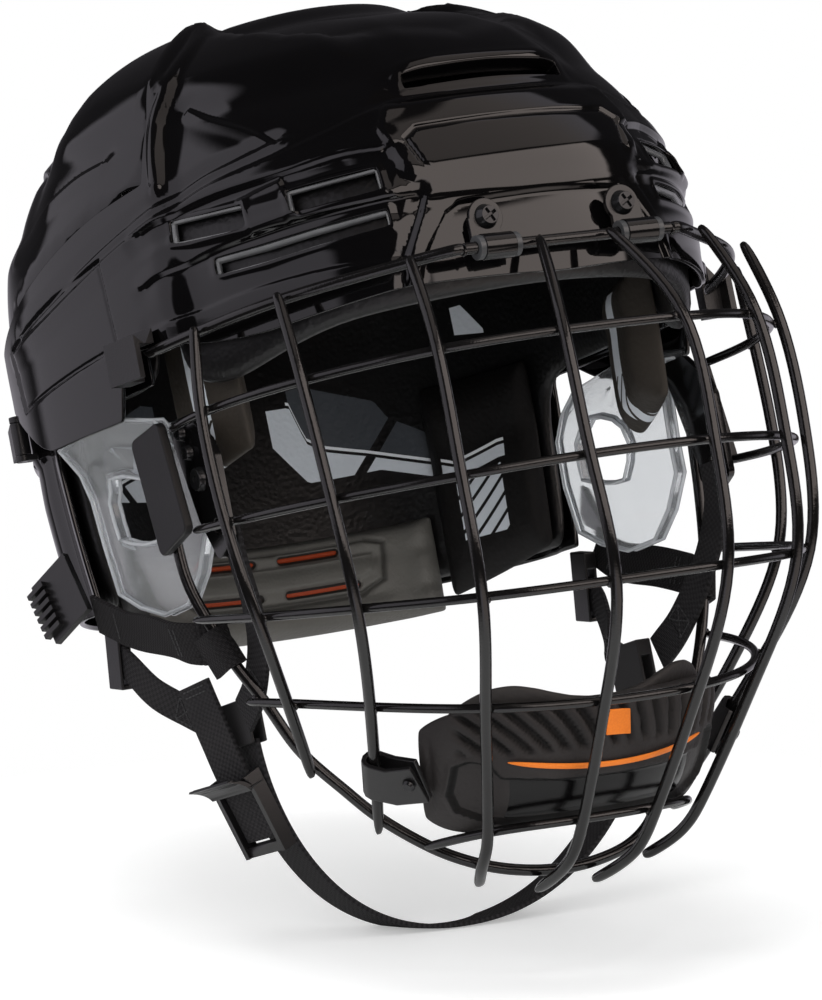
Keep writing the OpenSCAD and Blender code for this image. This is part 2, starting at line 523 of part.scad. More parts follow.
// corner rounds the outline: it is the part of the height cut off at both ends. bend lifts the ends.
module cup_layer(front, back, b0, b1, na = 20, nb = 6, a_end = 1, corner = 0.16, bend = 0) {
    hump = function (a) pow(sin(180 * pow(abs(a), 1.4)), 2);
    grid = function (depth) [for (j = [0 : nb]) [for (i = [0 : na])
        let(a = a_end * sin(90 * (-1 + 2 * i / na)) * 0.5 + a_end * (-0.5 + i / na), t = j / nb,
            cut = corner * pow(abs(a) / a_end, 9))
        cup(a, lerp(b0 + cut, (is_list(b1) ? lerp(b1[0], b1[1], hump(a)) : b1) - cut, t) + bend * a * a,
            depth(a, t))]];
    sheet_solid(grid(front), grid(back), function (i, j) true);
}
function cup_edge(a, b) = 2.2 * pow(abs(a), 10) + 1.8 * pow(abs(2 * b - 1), 8);
module chin_cup_shell() color([0.10, 0.10, 0.10])
    cup_layer(function (a, b) cup_edge(a, b) - 1.5 * (abs(a) < 0.62 && b < 0.45 && b > 0.1 ? 1 : 0),
        function (a, b) cup_wall, 0, 1);
module chin_cup_pad() color([0.14, 0.13, 0.13])
    cup_layer(function (a, b) cup_wall + seat + 0.3,
        function (a, b) let(rib = pow(cos(1440 * a), 2))
            cup_wall + cup_pad_thick * (1 - 0.6 * pow(abs(a), 6)) * (1 - 0.55 * pow(abs(2 * b - 1), 6))
            - 1.2 * rib * ramp(b, 0.6, 0.9),
        0.08, [0.98, 1.13], na = 40, nb = 8, a_end = 0.98, corner = 0.22);
module chin_cup_trim() color([0.95, 0.42, 0.08])
    cup_layer(function (a, b) -1.6, function (a, b) -0.5, 0.48, 0.53,
        na = 14, nb = 1, a_end = 0.6, corner = 0.02, bend = 0.27);

// Clips that hold the chin cup to the second uprights, and their rivets
clip_wire = (uprights[1][4] + uprights[1][5]) / 2;
clip_dir = unit(uprights[1][5] - uprights[1][4]);
clip_goal = cup(-0.97, 0.5, -4);
clip_leg = clip_goal - clip_wire;
clip_back = unit(clip_leg - (clip_leg * clip_dir) * clip_dir);
clip_out = cross(clip_dir, clip_back);
clip_band = 1.8;
module cup_clip(right) color([0.07, 0.07, 0.07]) left_of(right)
    sweep(concat([clip_goal - 1.4 * clip_out],
        fold(clip_wire, clip_back, clip_out, main_wire / 2 + 1.4, 7),
        [clip_wire + 7 * clip_back + 2.6 * clip_out, clip_goal + 1.2 * clip_out]),
        clip_dir, flat_section(15, clip_band));
module cup_clip_right() cup_clip(true);
module cup_clip_left() cup_clip(false);
module cup_rivets() color([0.12, 0.12, 0.12])
    for (right = [true, false]) left_of(right)
        translate(clip_goal + (2.3 + clip_band / 2) * clip_out - 3 * clip_back)
            rotate([0, acos(clip_out.z), atan2(clip_out.y, clip_out.x)]) cylinder(d1 = 4.6, d2 = 3.2, h = 1.2);

// Chin webbing. Two branches on each side come down from the shell to a junction, a folded
// patch, and the loop under the chin swings in the fold.
junction = [-75 - side_shift, 0, -128];
branch_width = 13;
patch_size = [1.2, 20, 15];
webbing_side = [0.06, 1, 0.15];
module front_webbing(right) color([0.05, 0.05, 0.05]) left_of(right)
    translate([-side_shift, 0, 0]) webbing([[-91, -50, -66], [-90.4, -50, -78], [-87, -46.5, -92],
        [-83.4, -38.5, -105], [-80.8, -25, -117], [-79.4, -11, -124]], branch_width, webbing_side);
module front_webbing_right() front_webbing(true);
module front_webbing_left() front_webbing(false);
module rear_webbing(right) color([0.05, 0.05, 0.05]) left_of(right)
    translate([-side_shift, 0, 0]) webbing([[-91.3, 51, -92], [-91.3, 42.5, -97.5], [-88, 34, -108],
        [-82, 25, -116.5], [-79.6, 12, -123.5]], branch_width - 2, [0.02, 0.6, -1]);
module rear_webbing_right() rear_webbing(true);
module rear_webbing_left() rear_webbing(false);
module webbing_hooks() color([0.09, 0.09, 0.09])
    for (right = [true, false]) left_of(right)
        translate([-90.3 - side_shift, 49, -89]) rotate([12, 0, 0]) difference() {
            translate([-3.4, -5.5, -14.5]) cube([4.8, 10, 24.5]);
            translate([-2.3, -6.5, -13]) cube([2.6, 12, 17]);
        }
fold_gap = webbing_thick + 1.8;
module webbing_patches() color([0.06, 0.06, 0.06])
    for (right = [true, false]) left_of(right)
        translate(junction) difference() {
            translate([-fold_gap / 2 - patch_size.x, -patch_size.y / 2, -5])
                cube([fold_gap + 2 * patch_size.x, patch_size.y, patch_size.z]);
            translate([-fold_gap / 2, -patch_size.y, -20]) cube([fold_gap, 2 * patch_size.y, 24.5]);
        }
loop_steps = 26;
loop_sweep = 20;
loop_start = 3;
function loop_point(t) = let(c = cos(t), n = sin(t))
    [junction.x * sign(c) * pow(abs(c), 0.91), junction.y + loop_sweep * pow(n, 1.56),
        junction.z - chin_loop_drop * pow(n, 1.13)];
module chin_loop() color([0.05, 0.05, 0.05])
    sweep([for (k = [0 : loop_steps]) loop_point(loop_start + (180 - 2 * loop_start) * k / loop_steps)],
        [0, 1, 0.12], flat_section(webbing_width - 1, webbing_thick));
// Ladder buckle on the right side. Its own frame is [outward, back, up] about its centre.
buckle_centre = [-74.4 - side_shift, 4.5, -154.5];
buckle_turn = [0, -20, 10];
function turned(p, t) = let(x = p.x * cos(t.y) + p.z * sin(t.y), z = p.z * cos(t.y) - p.x * sin(t.y))
    [x * cos(t.z) - p.y * sin(t.z), x * sin(t.z) + p.y * cos(t.z), z];
function at_buckle(p) = buckle_centre + turned(p, buckle_turn);
tail_width = webbing_width - 2;
module webbing_tail() color([0.05, 0.05, 0.05])
    webbing(concat([at_buckle([-1.4, 0, -9.2]), at_buckle([-1.4, 0, 2]), at_buckle([-1.4, 0, 13])],
        [for (p = [[-82.3, 5.5, -130], [-84, 7.5, -119], [-86, 8, -109.5]]) p - [side_shift, 0, 0]]),
        tail_width, [-0.17, 0.98, 0]);
module ladder_buckle() color([0.18, 0.18, 0.19])
    translate(buckle_centre) rotate(buckle_turn) {
        inner = tail_width / 2 + 0.6;
        for (side = [-1, 1]) translate([-4, side * (inner + 1) - 1, -14]) cube([5.4, 2, 28]);
        translate([-0.2, -inner, -2]) cube([1.6, 2 * inner, 4]);
        translate([-3, -inner, -14]) cube([4.4, 2 * inner, 3.4]);
        translate([-5.4, -inner - 2, 8.6]) rotate([0, -24, 0]) cube([1.8, 2 * inner + 4, 8]);
    }
module webbing_keeper() color([0.04, 0.04, 0.04])
    translate(loop_point(162)) rotate([14, 20, 0]) difference() {
        cube([webbing_thick + 4.6, webbing_width + 4, 10], center = true);
        cube([webbing_thick + 2.2, webbing_width + 1, 20], center = true);
    }

front_shell();
rear_shell();
front_liner();
rear_liner();
brow_pad();
crown_pad();
temple_pad_right();
temple_pad_left();
rear_side_pad_right();
rear_side_pad_left();
occipital_pad();
ear_guard_right();
ear_guard_left();
temple_bracket_right();
temple_bracket_left();
temple_screws_right();
temple_screws_left();
j_clip_right();
j_clip_left();
top_clip_right();
top_clip_left();
clip_rings();
clip_screws();
size_lock_right();
size_lock_left();
size_lock_pins();
size_lock_ears();
cage_top_bar();
cage_top_arms();
cage_wires_right();
cage_wires_left();
cage_cross_upper();
cage_cross_lower();
cage_border();
side_plate_right();
side_plate_left();
side_strap_right();
side_strap_left();
grip_tab_right();
grip_tab_left();
chin_cup_shell();
chin_cup_pad();
chin_cup_trim();
cup_clip_right();
cup_clip_left();
cup_rivets();
front_webbing_right();
front_webbing_left();
rear_webbing_right();
rear_webbing_left();
webbing_hooks();
webbing_patches();
chin_loop();
webbing_tail();
ladder_buckle();
webbing_keeper();
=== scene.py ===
# A multi-sport helmet with its wire face cage, as it is put together: shell, lining, ear guards,
# fittings, cage, chin cup and straps. Metres, +Z up, the face looks along -Y.
import bpy
import bmesh
import math
import numpy as np
from functools import partialmethod
from mathutils import Matrix, Vector
from mathutils.bvhtree import BVHTree
from mathutils.kdtree import KDTree


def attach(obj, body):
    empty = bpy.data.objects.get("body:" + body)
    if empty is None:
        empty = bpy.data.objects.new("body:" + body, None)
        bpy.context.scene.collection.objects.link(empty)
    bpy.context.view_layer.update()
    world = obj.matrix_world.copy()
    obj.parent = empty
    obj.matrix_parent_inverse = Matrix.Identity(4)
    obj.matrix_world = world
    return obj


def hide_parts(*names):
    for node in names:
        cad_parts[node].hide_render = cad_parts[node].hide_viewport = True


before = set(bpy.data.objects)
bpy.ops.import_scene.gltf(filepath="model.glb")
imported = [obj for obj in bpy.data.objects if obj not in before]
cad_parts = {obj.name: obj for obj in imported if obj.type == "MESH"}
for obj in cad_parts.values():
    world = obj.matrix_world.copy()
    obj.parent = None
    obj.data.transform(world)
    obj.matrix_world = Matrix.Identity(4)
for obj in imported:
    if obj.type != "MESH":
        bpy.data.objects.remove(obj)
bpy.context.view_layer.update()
scene = bpy.context.scene
scene.view_settings.view_transform = "Standard"


# Camera, at the height and angle of the photograph: low in front of the wearer's right side and
# tilted up at the helmet. A long lens keeps the shape flat, as a catalogue picture is taken.
camera = bpy.data.objects.new("camera", bpy.data.cameras.new("camera"))
scene.collection.objects.link(camera)
camera.data.sensor_width = 36
camera.data.lens = 194.4
camera.data.clip_end = 20
across = Vector((0.8721, -0.4511, -0.1897)).normalized()
upward = Vector((0.1140, -0.1896, 0.9752)).normalized()
back = across.cross(upward).normalized()
upward = back.cross(across)
turned = Matrix((across, upward, back)).transposed().to_4x4()
camera.matrix_world = Matrix.Translation((-0.8615, -1.5837, -0.2662)) @ turned
scene.camera = camera


# Materials are built as sums on sockets. A value can be added to, multiplied by or compared with
# another value or a number, and Finish.node adds any other node.
class Value:
    def __init__(self, finish, socket):
        self.finish = finish
        self.socket = socket

    def worked(self, operation, other=0.0, swapped=False):
        first, second = (other, self) if swapped else (self, other)
        return self.finish.node("ShaderNodeMath", {"operation": operation}, {0: first, 1: second})

    __add__ = __radd__ = partialmethod(worked, "ADD")
    __sub__ = partialmethod(worked, "SUBTRACT")
    __rsub__ = partialmethod(worked, "SUBTRACT", swapped=True)
    __mul__ = __rmul__ = partialmethod(worked, "MULTIPLY")
    __truediv__ = partialmethod(worked, "DIVIDE")
    __pow__ = partialmethod(worked, "POWER")
    __gt__ = partialmethod(worked, "GREATER_THAN")
    __lt__ = partialmethod(worked, "LESS_THAN")
    __abs__ = partialmethod(worked, "ABSOLUTE")
    sine = partialmethod(worked, "SINE")
    floor = partialmethod(worked, "FLOOR")
    wrapped = partialmethod(worked, "FLOORED_MODULO")
    least = partialmethod(worked, "MINIMUM")
    most = partialmethod(worked, "MAXIMUM")


class Finish:
    def __init__(self, name, tree=None):
        self.material = None if tree else bpy.data.materials.new(name)
        if not tree:
            self.material.use_nodes = True
        self.tree = tree or self.material.node_tree
        self.shader = self.tree.nodes.get("Principled BSDF")

    def node(self, kind, settings=None, inputs=None, output=0):
        made = self.tree.nodes.new(kind)
        for key, value in (settings or {}).items():
            if key != "stops":
                setattr(made, key, value)
                continue
            while len(made.color_ramp.elements) < len(value):
                made.color_ramp.elements.new(0.5)
            for element, (place, shade) in zip(made.color_ramp.elements, value):
                element.position = place
                element.color = shade
        for key, value in (inputs or {}).items():
            self.wire(made.inputs[key], value)
        return Value(self, made.outputs[output])

    def wire(self, socket, value):
        if isinstance(value, Value):
            self.tree.links.new(value.socket, socket)
        else:
            socket.default_value = value

    def place(self):
        return self.node("ShaderNodeTexCoord", output=3)

    def coordinates(self, vector=None):
        parts = self.node("ShaderNodeSeparateXYZ", None, {0: vector or self.place()})
        outputs = parts.socket.node.outputs
        return [Value(self, outputs[k]) for k in range(3)]

    def noise(self, scale, detail=2.0):
        return self.node("ShaderNodeTexNoise", None,
                         {"Vector": self.place(), "Scale": scale, "Detail": detail})

    def cells(self, scale):
        return self.node("ShaderNodeTexVoronoi", {"feature": "SMOOTH_F1"},
                         {"Vector": self.place(), "Scale": scale})

    # Values that are stored at the points of the piece under this name
    def painted(self, name):
        return self.node("ShaderNodeAttribute", {"attribute_name": name}, output=2)

    def blend(self, amount, low, high):
        return self.node("ShaderNodeMix", {"data_type": "RGBA"}, {0: amount, 6: low, 7: high}, 2)

    def bump(self, height, distance, strength=1.0, below=None):
        sockets = {"Height": height, "Distance": distance, "Strength": strength}
        if below:
            sockets["Normal"] = below
        return self.node("ShaderNodeBump", None, sockets)

    def surface(self, **sockets):
        for key, value in sockets.items():
            self.wire(self.shader.inputs[key.replace("_", " ")], value)


# Studio: a white set for the camera, and for the gloss a darker room with one wide panel on the
# wearer's right, a brighter one in front, a pale floor and a dim wall behind. The lamps only
# light, and don't show in the gloss.
world = bpy.data.worlds.new("studio")
scene.world = world
world.use_nodes = True
room = Finish("studio", world.node_tree)
looks = room.node("ShaderNodeLightPath")
path = {o.name: Value(room, o) for o in looks.socket.node.outputs}
x, y, z = room.coordinates(room.node("ShaderNodeTexCoord"))
# Bearing round from the front towards the wearer's left, and rise above level, both in degrees
bearing = room.node("ShaderNodeMath", {"operation": "ARCTAN2"}, {0: x, 1: y * -1}) * (180 / math.pi)
rise = room.node("ShaderNodeMath", {"operation": "ARCSINE"}, {0: z}) * (180 / math.pi)


def soft_step(value, low, high):
    return room.node("ShaderNodeMapRange", {"interpolation_type": "SMOOTHSTEP"}, {
        "Value": value, "From Min": low, "From Max": high})


def panel_light(west, east, low, high, soft=5.0):
    wide = soft_step(bearing, west, west + soft) * (1 - soft_step(bearing, east - soft, east))
    return wide * soft_step(rise, low, low + soft) * (1 - soft_step(rise, high - soft, high))


# The room's least light in the gloss, and its even light on everything else
DARKEST, FILL = 0.035, 0.75
COOL, WARM, WHITE = (1.0, 0.95, 1.05, 1), (1.12, 0.98, 0.92, 1), (1, 1, 1, 1)
side_panel = panel_light(-167, -62, -4, 56) * (0.42 + 0.36 * soft_step(bearing, -165, -120))
front_panel = panel_light(-30, 66, -6, 34, 3.0) * 2.0 + panel_light(-30, 88, 36, 74, 3.0) * 0.55
floor_glow = soft_step(bearing, -84, -58) * (1 - soft_step(bearing, 60, 90))
floor_glow = floor_glow * (1 - soft_step(rise, -34, -20))
back_wall = (soft_step(bearing, 70, 95) + 1 - soft_step(bearing, -179, -166)).least(1.0)
back_wall = back_wall * soft_step(rise, -18, -8) * (1 - soft_step(rise, 4, 16)) * 0.5
glossy = side_panel + front_panel + floor_glow + back_wall + DARKEST
in_gloss = path["Is Glossy Ray"]
plain = room.node("ShaderNodeMix", {"data_type": "FLOAT"}, {0: in_gloss, 2: FILL, 3: glossy})
seen = path["Is Camera Ray"].most(path["Is Transmission Ray"])
warmth = soft_step(bearing, -50, -20) * (1 - soft_step(bearing, 60, 90)) * in_gloss
tint = room.blend(in_gloss, WHITE, room.blend(warmth, COOL, WARM))
tint = room.blend(seen, tint, WHITE)
light = room.node("ShaderNodeBackground", None, {"Color": tint, "Strength": plain * (1 - seen) + seen})
room.wire(room.tree.nodes["World Output"].inputs["Surface"], light)


def softbox(name, place, target, size, power):
    lamp = bpy.data.objects.new(name, bpy.data.lights.new(name, "AREA"))
    scene.collection.objects.link(lamp)
    lamp.data.shape = "RECTANGLE"
    lamp.data.size, lamp.data.size_y = size
    lamp.data.energy = power
    lamp.location = place
    lamp.rotation_euler = (Vector(target) - Vector(place)).to_track_quat("-Z", "Y").to_euler()
    lamp.visible_glossy = False


softbox("over_light", (-0.1, -0.35, 1.15), (0, 0, 0.05), (0.9, 0.45), 7)
softbox("key_light", (-1.5, -0.9, 0.55), (0, 0, 0), (0.8, 1.1), 10)
softbox("face_light", (-0.3, -1.7, -0.35), (0, -0.05, -0.06), (0.9, 0.5), 9)

# The floor is a pale disc that fades out at its edge. It lies level as the camera sees it, just
# under the chin loop, so it takes the soft shadow and nothing else.
FLOOR_RADIUS, FLOOR_TILT = 0.36, math.radians(8.5)
floor_shape = bmesh.new()
bmesh.ops.create_circle(floor_shape, cap_ends=True, segments=64, radius=FLOOR_RADIUS)
mesh = bpy.data.meshes.new("floor")
floor_shape.to_mesh(mesh)
floor_shape.free()
floor = bpy.data.objects.new("floor", mesh)
scene.collection.objects.link(floor)
level = (upward * math.cos(FLOOR_TILT) + back * math.sin(FLOOR_TILT)).normalized()
floor.location = (0.0, -0.02, -0.214)
floor.rotation_euler = level.to_track_quat("Z", "Y").to_euler()
pale = Finish("floor_pale")
x, y, _ = pale.coordinates()
reach = (x * x + y * y) ** 0.5
cover = pale.node("ShaderNodeMapRange", {"interpolation_type": "SMOOTHSTEP"}, {
    "Value": reach, "From Min": 0.18, "From Max": 0.35, "To Min": 1.0, "To Max": 0.0})
by_eye = Value(pale, pale.node("ShaderNodeLightPath").socket)
matt = pale.node("ShaderNodeBsdfDiffuse", None, {"Color": (0.9, 0.9, 0.9, 1)})
glow = pale.node("ShaderNodeEmission", None, {"Color": WHITE, "Strength": by_eye * 0.3})
clear = pale.node("ShaderNodeBsdfTransparent")
lit = pale.node("ShaderNodeAddShader", None, {0: matt, 1: glow})
mixed = pale.node("ShaderNodeMixShader", None, {0: cover, 1: clear, 2: lit})
pale.wire(pale.tree.nodes["Material Output"].inputs["Surface"], mixed)
floor.data.materials.append(pale.material)


# Shells. Two moulded halves of black gloss plastic: the front one carries the vents, the brow
# block and the side band, and the rear one slides under it. Each is its solid with rounded
# edges, smoothed, cut finer beside its lines and laid on the form with those lines pressed in.
def merged(node, quads=True):
    shape = bmesh.new()
    shape.from_mesh(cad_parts[node].data)
    bmesh.ops.remove_doubles(shape, verts=shape.verts, dist=1e-5)
    if quads:
        bmesh.ops.join_triangles(shape, faces=shape.faces, angle_face_threshold=math.radians(50),
                                 angle_shape_threshold=math.radians(60))
    else:
        bmesh.ops.dissolve_limit(shape, angle_limit=math.radians(0.5), verts=shape.verts,
                                 edges=shape.edges)
    return shape


def sharp_edges(shape, degrees):
    least = math.radians(degrees)
    return [e for e in shape.edges if len(e.link_faces) == 2 and e.calc_face_angle(0) > least]


def eased(shape, width, segments=2, degrees=40):
    bmesh.ops.bevel(shape, geom=sharp_edges(shape, degrees), offset=width, offset_type="OFFSET",
                    affect="EDGES", segments=segments, profile=0.5, material=-1, clamp_overlap=True)
    return shape


def item_of(made, name):
    for face in made.polygons:
        face.use_smooth = True
    item = bpy.data.objects.new(name, made)
    scene.collection.objects.link(item)
    return item


def stored(shape, name):
    made = bpy.data.meshes.new(name)
    shape.to_mesh(made)
    shape.free()
    return item_of(made, name)


def evaluated(item):
    return bpy.data.meshes.new_from_object(item.evaluated_get(bpy.context.evaluated_depsgraph_get()))


def smoothed(shape, name, levels):
    item = stored(shape, name)
    modifier = item.modifiers.new("smooth", "SUBSURF")
    modifier.levels = modifier.render_levels = levels
    finished = evaluated(item)
    rough = item.data
    item.modifiers.clear()
    item.data = finished
    bpy.data.meshes.remove(rough)
    return item


def fitted(item, body, nodes, finish):
    if nodes:
        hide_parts(*nodes)
    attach(item, body)
    item.data.materials.clear()
    item.data.materials.append(finish.material)
    return item


def points_of(item):
    flat = np.zeros(len(item.data.vertices) * 3)
    item.data.vertices.foreach_get("co", flat)
    normals = np.zeros(len(flat))
    item.data.vertices.foreach_get("normal", normals)
    return flat.reshape(-1, 3) * 1000, normals.reshape(-1, 3)


def moved(item, points):
    item.data.vertices.foreach_set("co", (points / 1000).ravel())
    item.data.update()


# The form that both shells were drawn on: turn runs round from the front, rise climbs from the
# widest line to the crown, and off moves a point outward, in degrees and millimetres.
SHELL_HALF, SHELL_FRONT, SHELL_REAR, SHELL_TOP, SHELL_SKIRT = 108, 150, 126, 110, 110
SHELL_MIDDLE = 14


def ramp(x, low, high):
    t = np.clip((x - low) / (high - low), 0, 1)
    return t * t * (3 - 2 * t)


def form(turn, rise, off):
    s, c = np.sin(np.radians(turn)), np.cos(np.radians(turn))
    power = np.where(c > 0, 2.1, 2.2)
    reach = np.where(c > 0, SHELL_FRONT, SHELL_REAR) + off
    r = ((np.abs(s) / (SHELL_HALF + off)) ** power + (np.abs(c) / reach) ** power) ** (-1 / power)
    bulge = 2 / (2.1 + 0.65 * (1 - c) / 2)
    drop = np.radians(rise)
    climb = np.clip(drop, 0, 1.57)
    k = np.where(rise >= 0, np.cos(climb) ** bulge, 1 - 0.10 * drop * drop)
    z = np.where(rise >= 0, (SHELL_TOP + off) * np.sin(climb) ** bulge, SHELL_SKIRT * drop)
    return np.stack([r * s * k, SHELL_MIDDLE + 10 * np.sin(climb) - r * c * k, z], 1)


# Where points lie on that form, found in ten steps down its slopes
def on_form(points):
    turn = np.degrees(np.arctan2(points[:, 0], SHELL_MIDDLE - points[:, 1]))
    rise = np.degrees(np.arcsin(np.clip(points[:, 2] / 112, -0.6, 0.98)))
    off = np.zeros(len(points))
    for _ in range(10):
        here = form(turn, rise, off)
        slopes = [(form(turn + 0.1, rise, off) - here) * 10,
                  (form(turn, rise + 0.1, off) - here) * 10,
                  (form(turn, rise, off + 0.1) - here) * 10]
        step = np.linalg.solve(np.stack(slopes, 2), (points - here)[:, :, None])[:, :, 0]
        turn = turn + np.clip(step[:, 0], -6, 6)
        rise = np.clip(rise + np.clip(step[:, 1], -5, 5), -48, 88.5)
        off = np.clip(off + np.clip(step[:, 2], -4, 4), -14, 14)
    return turn, rise, off


# Smooth path through chosen points, each run cut into steps
def route(points, steps=10):
    points = np.array(points, float)
    last = len(points) - 1
    runs = np.linalg.norm(np.diff(points, axis=0), axis=1)
    ways = np.array([points[min(last, i + 1)] - points[max(0, i - 1)] for i in range(last + 1)])
    ways /= np.linalg.norm(ways, axis=1)[:, None]
    line = []
    for i in range(last):
        for t in np.arange(steps) / steps:
            a, b, c = 2 * t ** 3 - 3 * t * t + 1, t ** 3 - 2 * t * t + t, t ** 3 - t * t
            bow = runs[i] * (b * ways[i] + c * ways[i + 1])
            line.append(a * points[i] + (1 - a) * points[i + 1] + bow)
    return np.array(line + [points[-1]])


# A line on the form, given on the wearer's right side. An open line has a side that counts as
# above zero, and a closed outline counts above zero inside.
class Line:
    def __init__(self, points, side=None, curved=False):
        points = route(points, 4) if curved else np.array(points, float)
        turn, rise, _ = on_form(points)
        if side is None:
            turn, rise = np.append(turn, turn[0]), np.append(rise, rise[0])
        given = np.arange(len(turn))
        at = np.linspace(0, given[-1], given[-1] * (1 if curved else 4) + 1)
        self.spots = np.stack([np.interp(at, given, turn), np.interp(at, given, rise)], 1)
        self.track = form(self.spots[:, 0], self.spots[:, 1], 0)
        self.side = side

    def distance(self, flat, turn, rise):
        p = flat.copy()
        p[:, 0] = -np.abs(p[:, 0])
        far = np.full(len(p), -50.0)
        low, high = self.track.min(0) - 14, self.track.max(0) + 14
        near = np.flatnonzero(((p > low) & (p < high)).all(1))
        p = p[near]
        best, sign = np.full(len(p), 50.0), np.ones(len(p))
        for a, b in zip(self.track, self.track[1:]):
            t = np.clip((p - a) @ (b - a) / ((b - a) @ (b - a)), 0, 1)
            away = p - a - t[:, None] * (b - a)
            size = np.linalg.norm(away, axis=1)
            closer = size < best
            best[closer] = size[closer]
            if self.side is not None:
                sign[closer] = np.where(away[closer] @ np.array(self.side, float) >= 0, 1, -1)
        if self.side is None:
            inner = np.zeros(len(p), bool)
            t, r = -np.abs(turn[near]), rise[near]
            for a, b in zip(self.spots, self.spots[1:]):
                cut = (a[1] > r) != (b[1] > r)
                with np.errstate(divide="ignore", invalid="ignore"):
                    inner ^= cut & (t < (b[0] - a[0]) * (r - a[1]) / (b[1] - a[1]) + a[0])
            sign = np.where(inner, 1, -1)
        far[near] = best * sign
        return far


# Height of a line's section at a distance from it: the mean of five places next to each other
def profiled(far, stops):
    places, heights = zip(*stops)
    return sum(np.interp(far + shift * 0.4, places, heights) for shift in (-1, -0.5, 0, 0.5, 1)) / 5


# The outside of a shell is cut finer, once for each reach from its lines in millimetres, and then
# laid on its form with the lines in it. The inner wall and the rims move with the nearest point
# outside. Lines are pairs of a Line and the stops of its section.
def reshaped(item, level, lines, reaches):
    for close in reaches + (None,):
        points, normals = points_of(item)
        turn, rise, off = on_form(points)
        flat = form(turn, rise, 0)
        out = form(turn, rise, off + 1) - form(turn, rise, off)
        outer = (off > level(turn, rise) - 1.3) & ((normals * out).sum(1) > 0.45)
        if close is None:
            break
        nearest = np.min([np.abs(line.distance(flat, turn, rise)) for line, _ in lines], axis=0)
        picked = outer & (nearest < close)
        shape = bmesh.new()
        shape.from_mesh(item.data)
        for face in shape.faces:
            face.tag = all(picked[v.index] for v in face.verts)
        edges = [e for e in shape.edges if any(f.tag for f in e.link_faces)]
        bmesh.ops.subdivide_edges(shape, edges=edges, cuts=1, use_grid_fill=True)
        shape.to_mesh(item.data)
        shape.free()
    height = level(turn, rise)
    for line, stops in lines:
        height = height + profiled(line.distance(flat, turn, rise), stops)
    shift = np.where(outer, height - off, 0)
    tree = KDTree(int(outer.sum()))
    for i in np.flatnonzero(outer):
        tree.insert(flat[i], int(i))
    tree.balance()
    for i in np.flatnonzero(~outer):
        shift[i] = shift[tree.find(flat[i])[1]]
    moved(item, points + form(turn, rise, off + shift) - form(turn, rise, off))


# Points on the form at these turns and rises
def drawn(turns, rises):
    return form(np.array(turns, float), np.array(rises, float), np.zeros(len(turns)))


# Edges as turns and the rises they have there: the crown's crease, the top of the side band and
# the lower edge of the brow. The front half stands LAP over the rear one.
CREASE = ([0, 12, 58, 90, 120, 180], [42, 46, 71, 79, 84, 86])
BAND_TOP = ([0, 58, 71.5, 88, 109.5, 118], [24, 22.5, 19.5, 14.5, 7.5, 5])
BROW_EDGE = ([0, 20, 31, 42, 50, 58, 68, 71.5, 98, 103, 118],
             [-5.5, -4, -5, -6, -5, -3, -2.5, -13, -12.5, -11, -2])
LAP = 3.6
BLOCK = Line([[0, -118, 56], [-24, -111, 56], [-36.8, -106.2, 56], [-44.3, -110.2, 44.8],
              [-43.6, -115.6, 37.4], [-42.1, -120.5, 25.7], [-38.1, -122.4, 20.6],
              [-41.1, -121.8, 13.9], [-47.6, -119.9, 1], [-49, -118, -22], [49, -118, -22],
              [36.8, -106.2, 56]])


# How far the outside stands from the form at each turn and rise: first what both halves share
def swell(turn, rise):
    above = ramp(rise, np.interp(turn, *CREASE) - 4, np.interp(turn, *CREASE) + 3)
    waist = ramp(turn, 92, 110) * ramp(rise, 18, 27) * (1 - ramp(rise, 46, 58))
    sides = ramp(rise, 34, 45) * (1 - above) * ramp(turn, 12, 20) * (1 - ramp(turn, 88, 116))
    return 4.5 * sides - 1.8 * above - 3 * waist


def front_level(turn, rise):
    t = np.abs(turn)
    far = BLOCK.distance(form(turn, rise, 0), turn, rise)
    block = profiled(far, [(-14, 0), (-0.6, 0.45), (0.6, 1)])
    block = block * ramp(rise, 8.6, 11.9) * np.clip((28.7 - rise) / 2.6, 0, 1)
    hood = (1 - ramp(t, 9, 20)) * ramp(rise, 30, 35.5) * (1 - ramp(rise, 46, 66))
    low = (1 - ramp(t, 48, 58)) * (1 - ramp(rise, 7.5, 11))
    lapped = LAP * np.maximum(ramp(t, 50, 57), ramp(rise, 66, 74))
    return lapped + swell(t, rise) + 2.5 * block + 5 * hood - 2 * low


def rear_level(turn, rise):
    t = np.abs(turn)
    band = 5 * (1 - ramp(rise - np.interp(t, *BAND_TOP), 0, 4)) * (1 - ramp(t, 116, 122))
    under = (LAP + 0.6) * (1 - ramp(t, 54, 61)) * (1 - ramp(rise, 70, 77))
    return np.minimum(-band, -under) + swell(t, rise)


gloss = Finish("shell_gloss")
haze = gloss.noise(35.0, 3.0)
grime = gloss.noise(900.0, 2.0)
gloss.surface(Base_Color=gloss.blend(haze, (0.0011, 0.001, 0.0011, 1), (0.0018, 0.0016, 0.0018, 1)),
              Roughness=0.03 + 0.03 * haze + 0.03 * grime, IOR=1.5,
              Normal=gloss.bump(gloss.noise(140.0, 2.0), 0.00005, 0.3))


# Rises at a share of the way from the brow's lower edge to the top of the band
def up_the_brow(turns, share):
    return [np.interp(t, *BROW_EDGE) * (1 - share) + np.interp(t, *BAND_TOP) * share for t in turns]


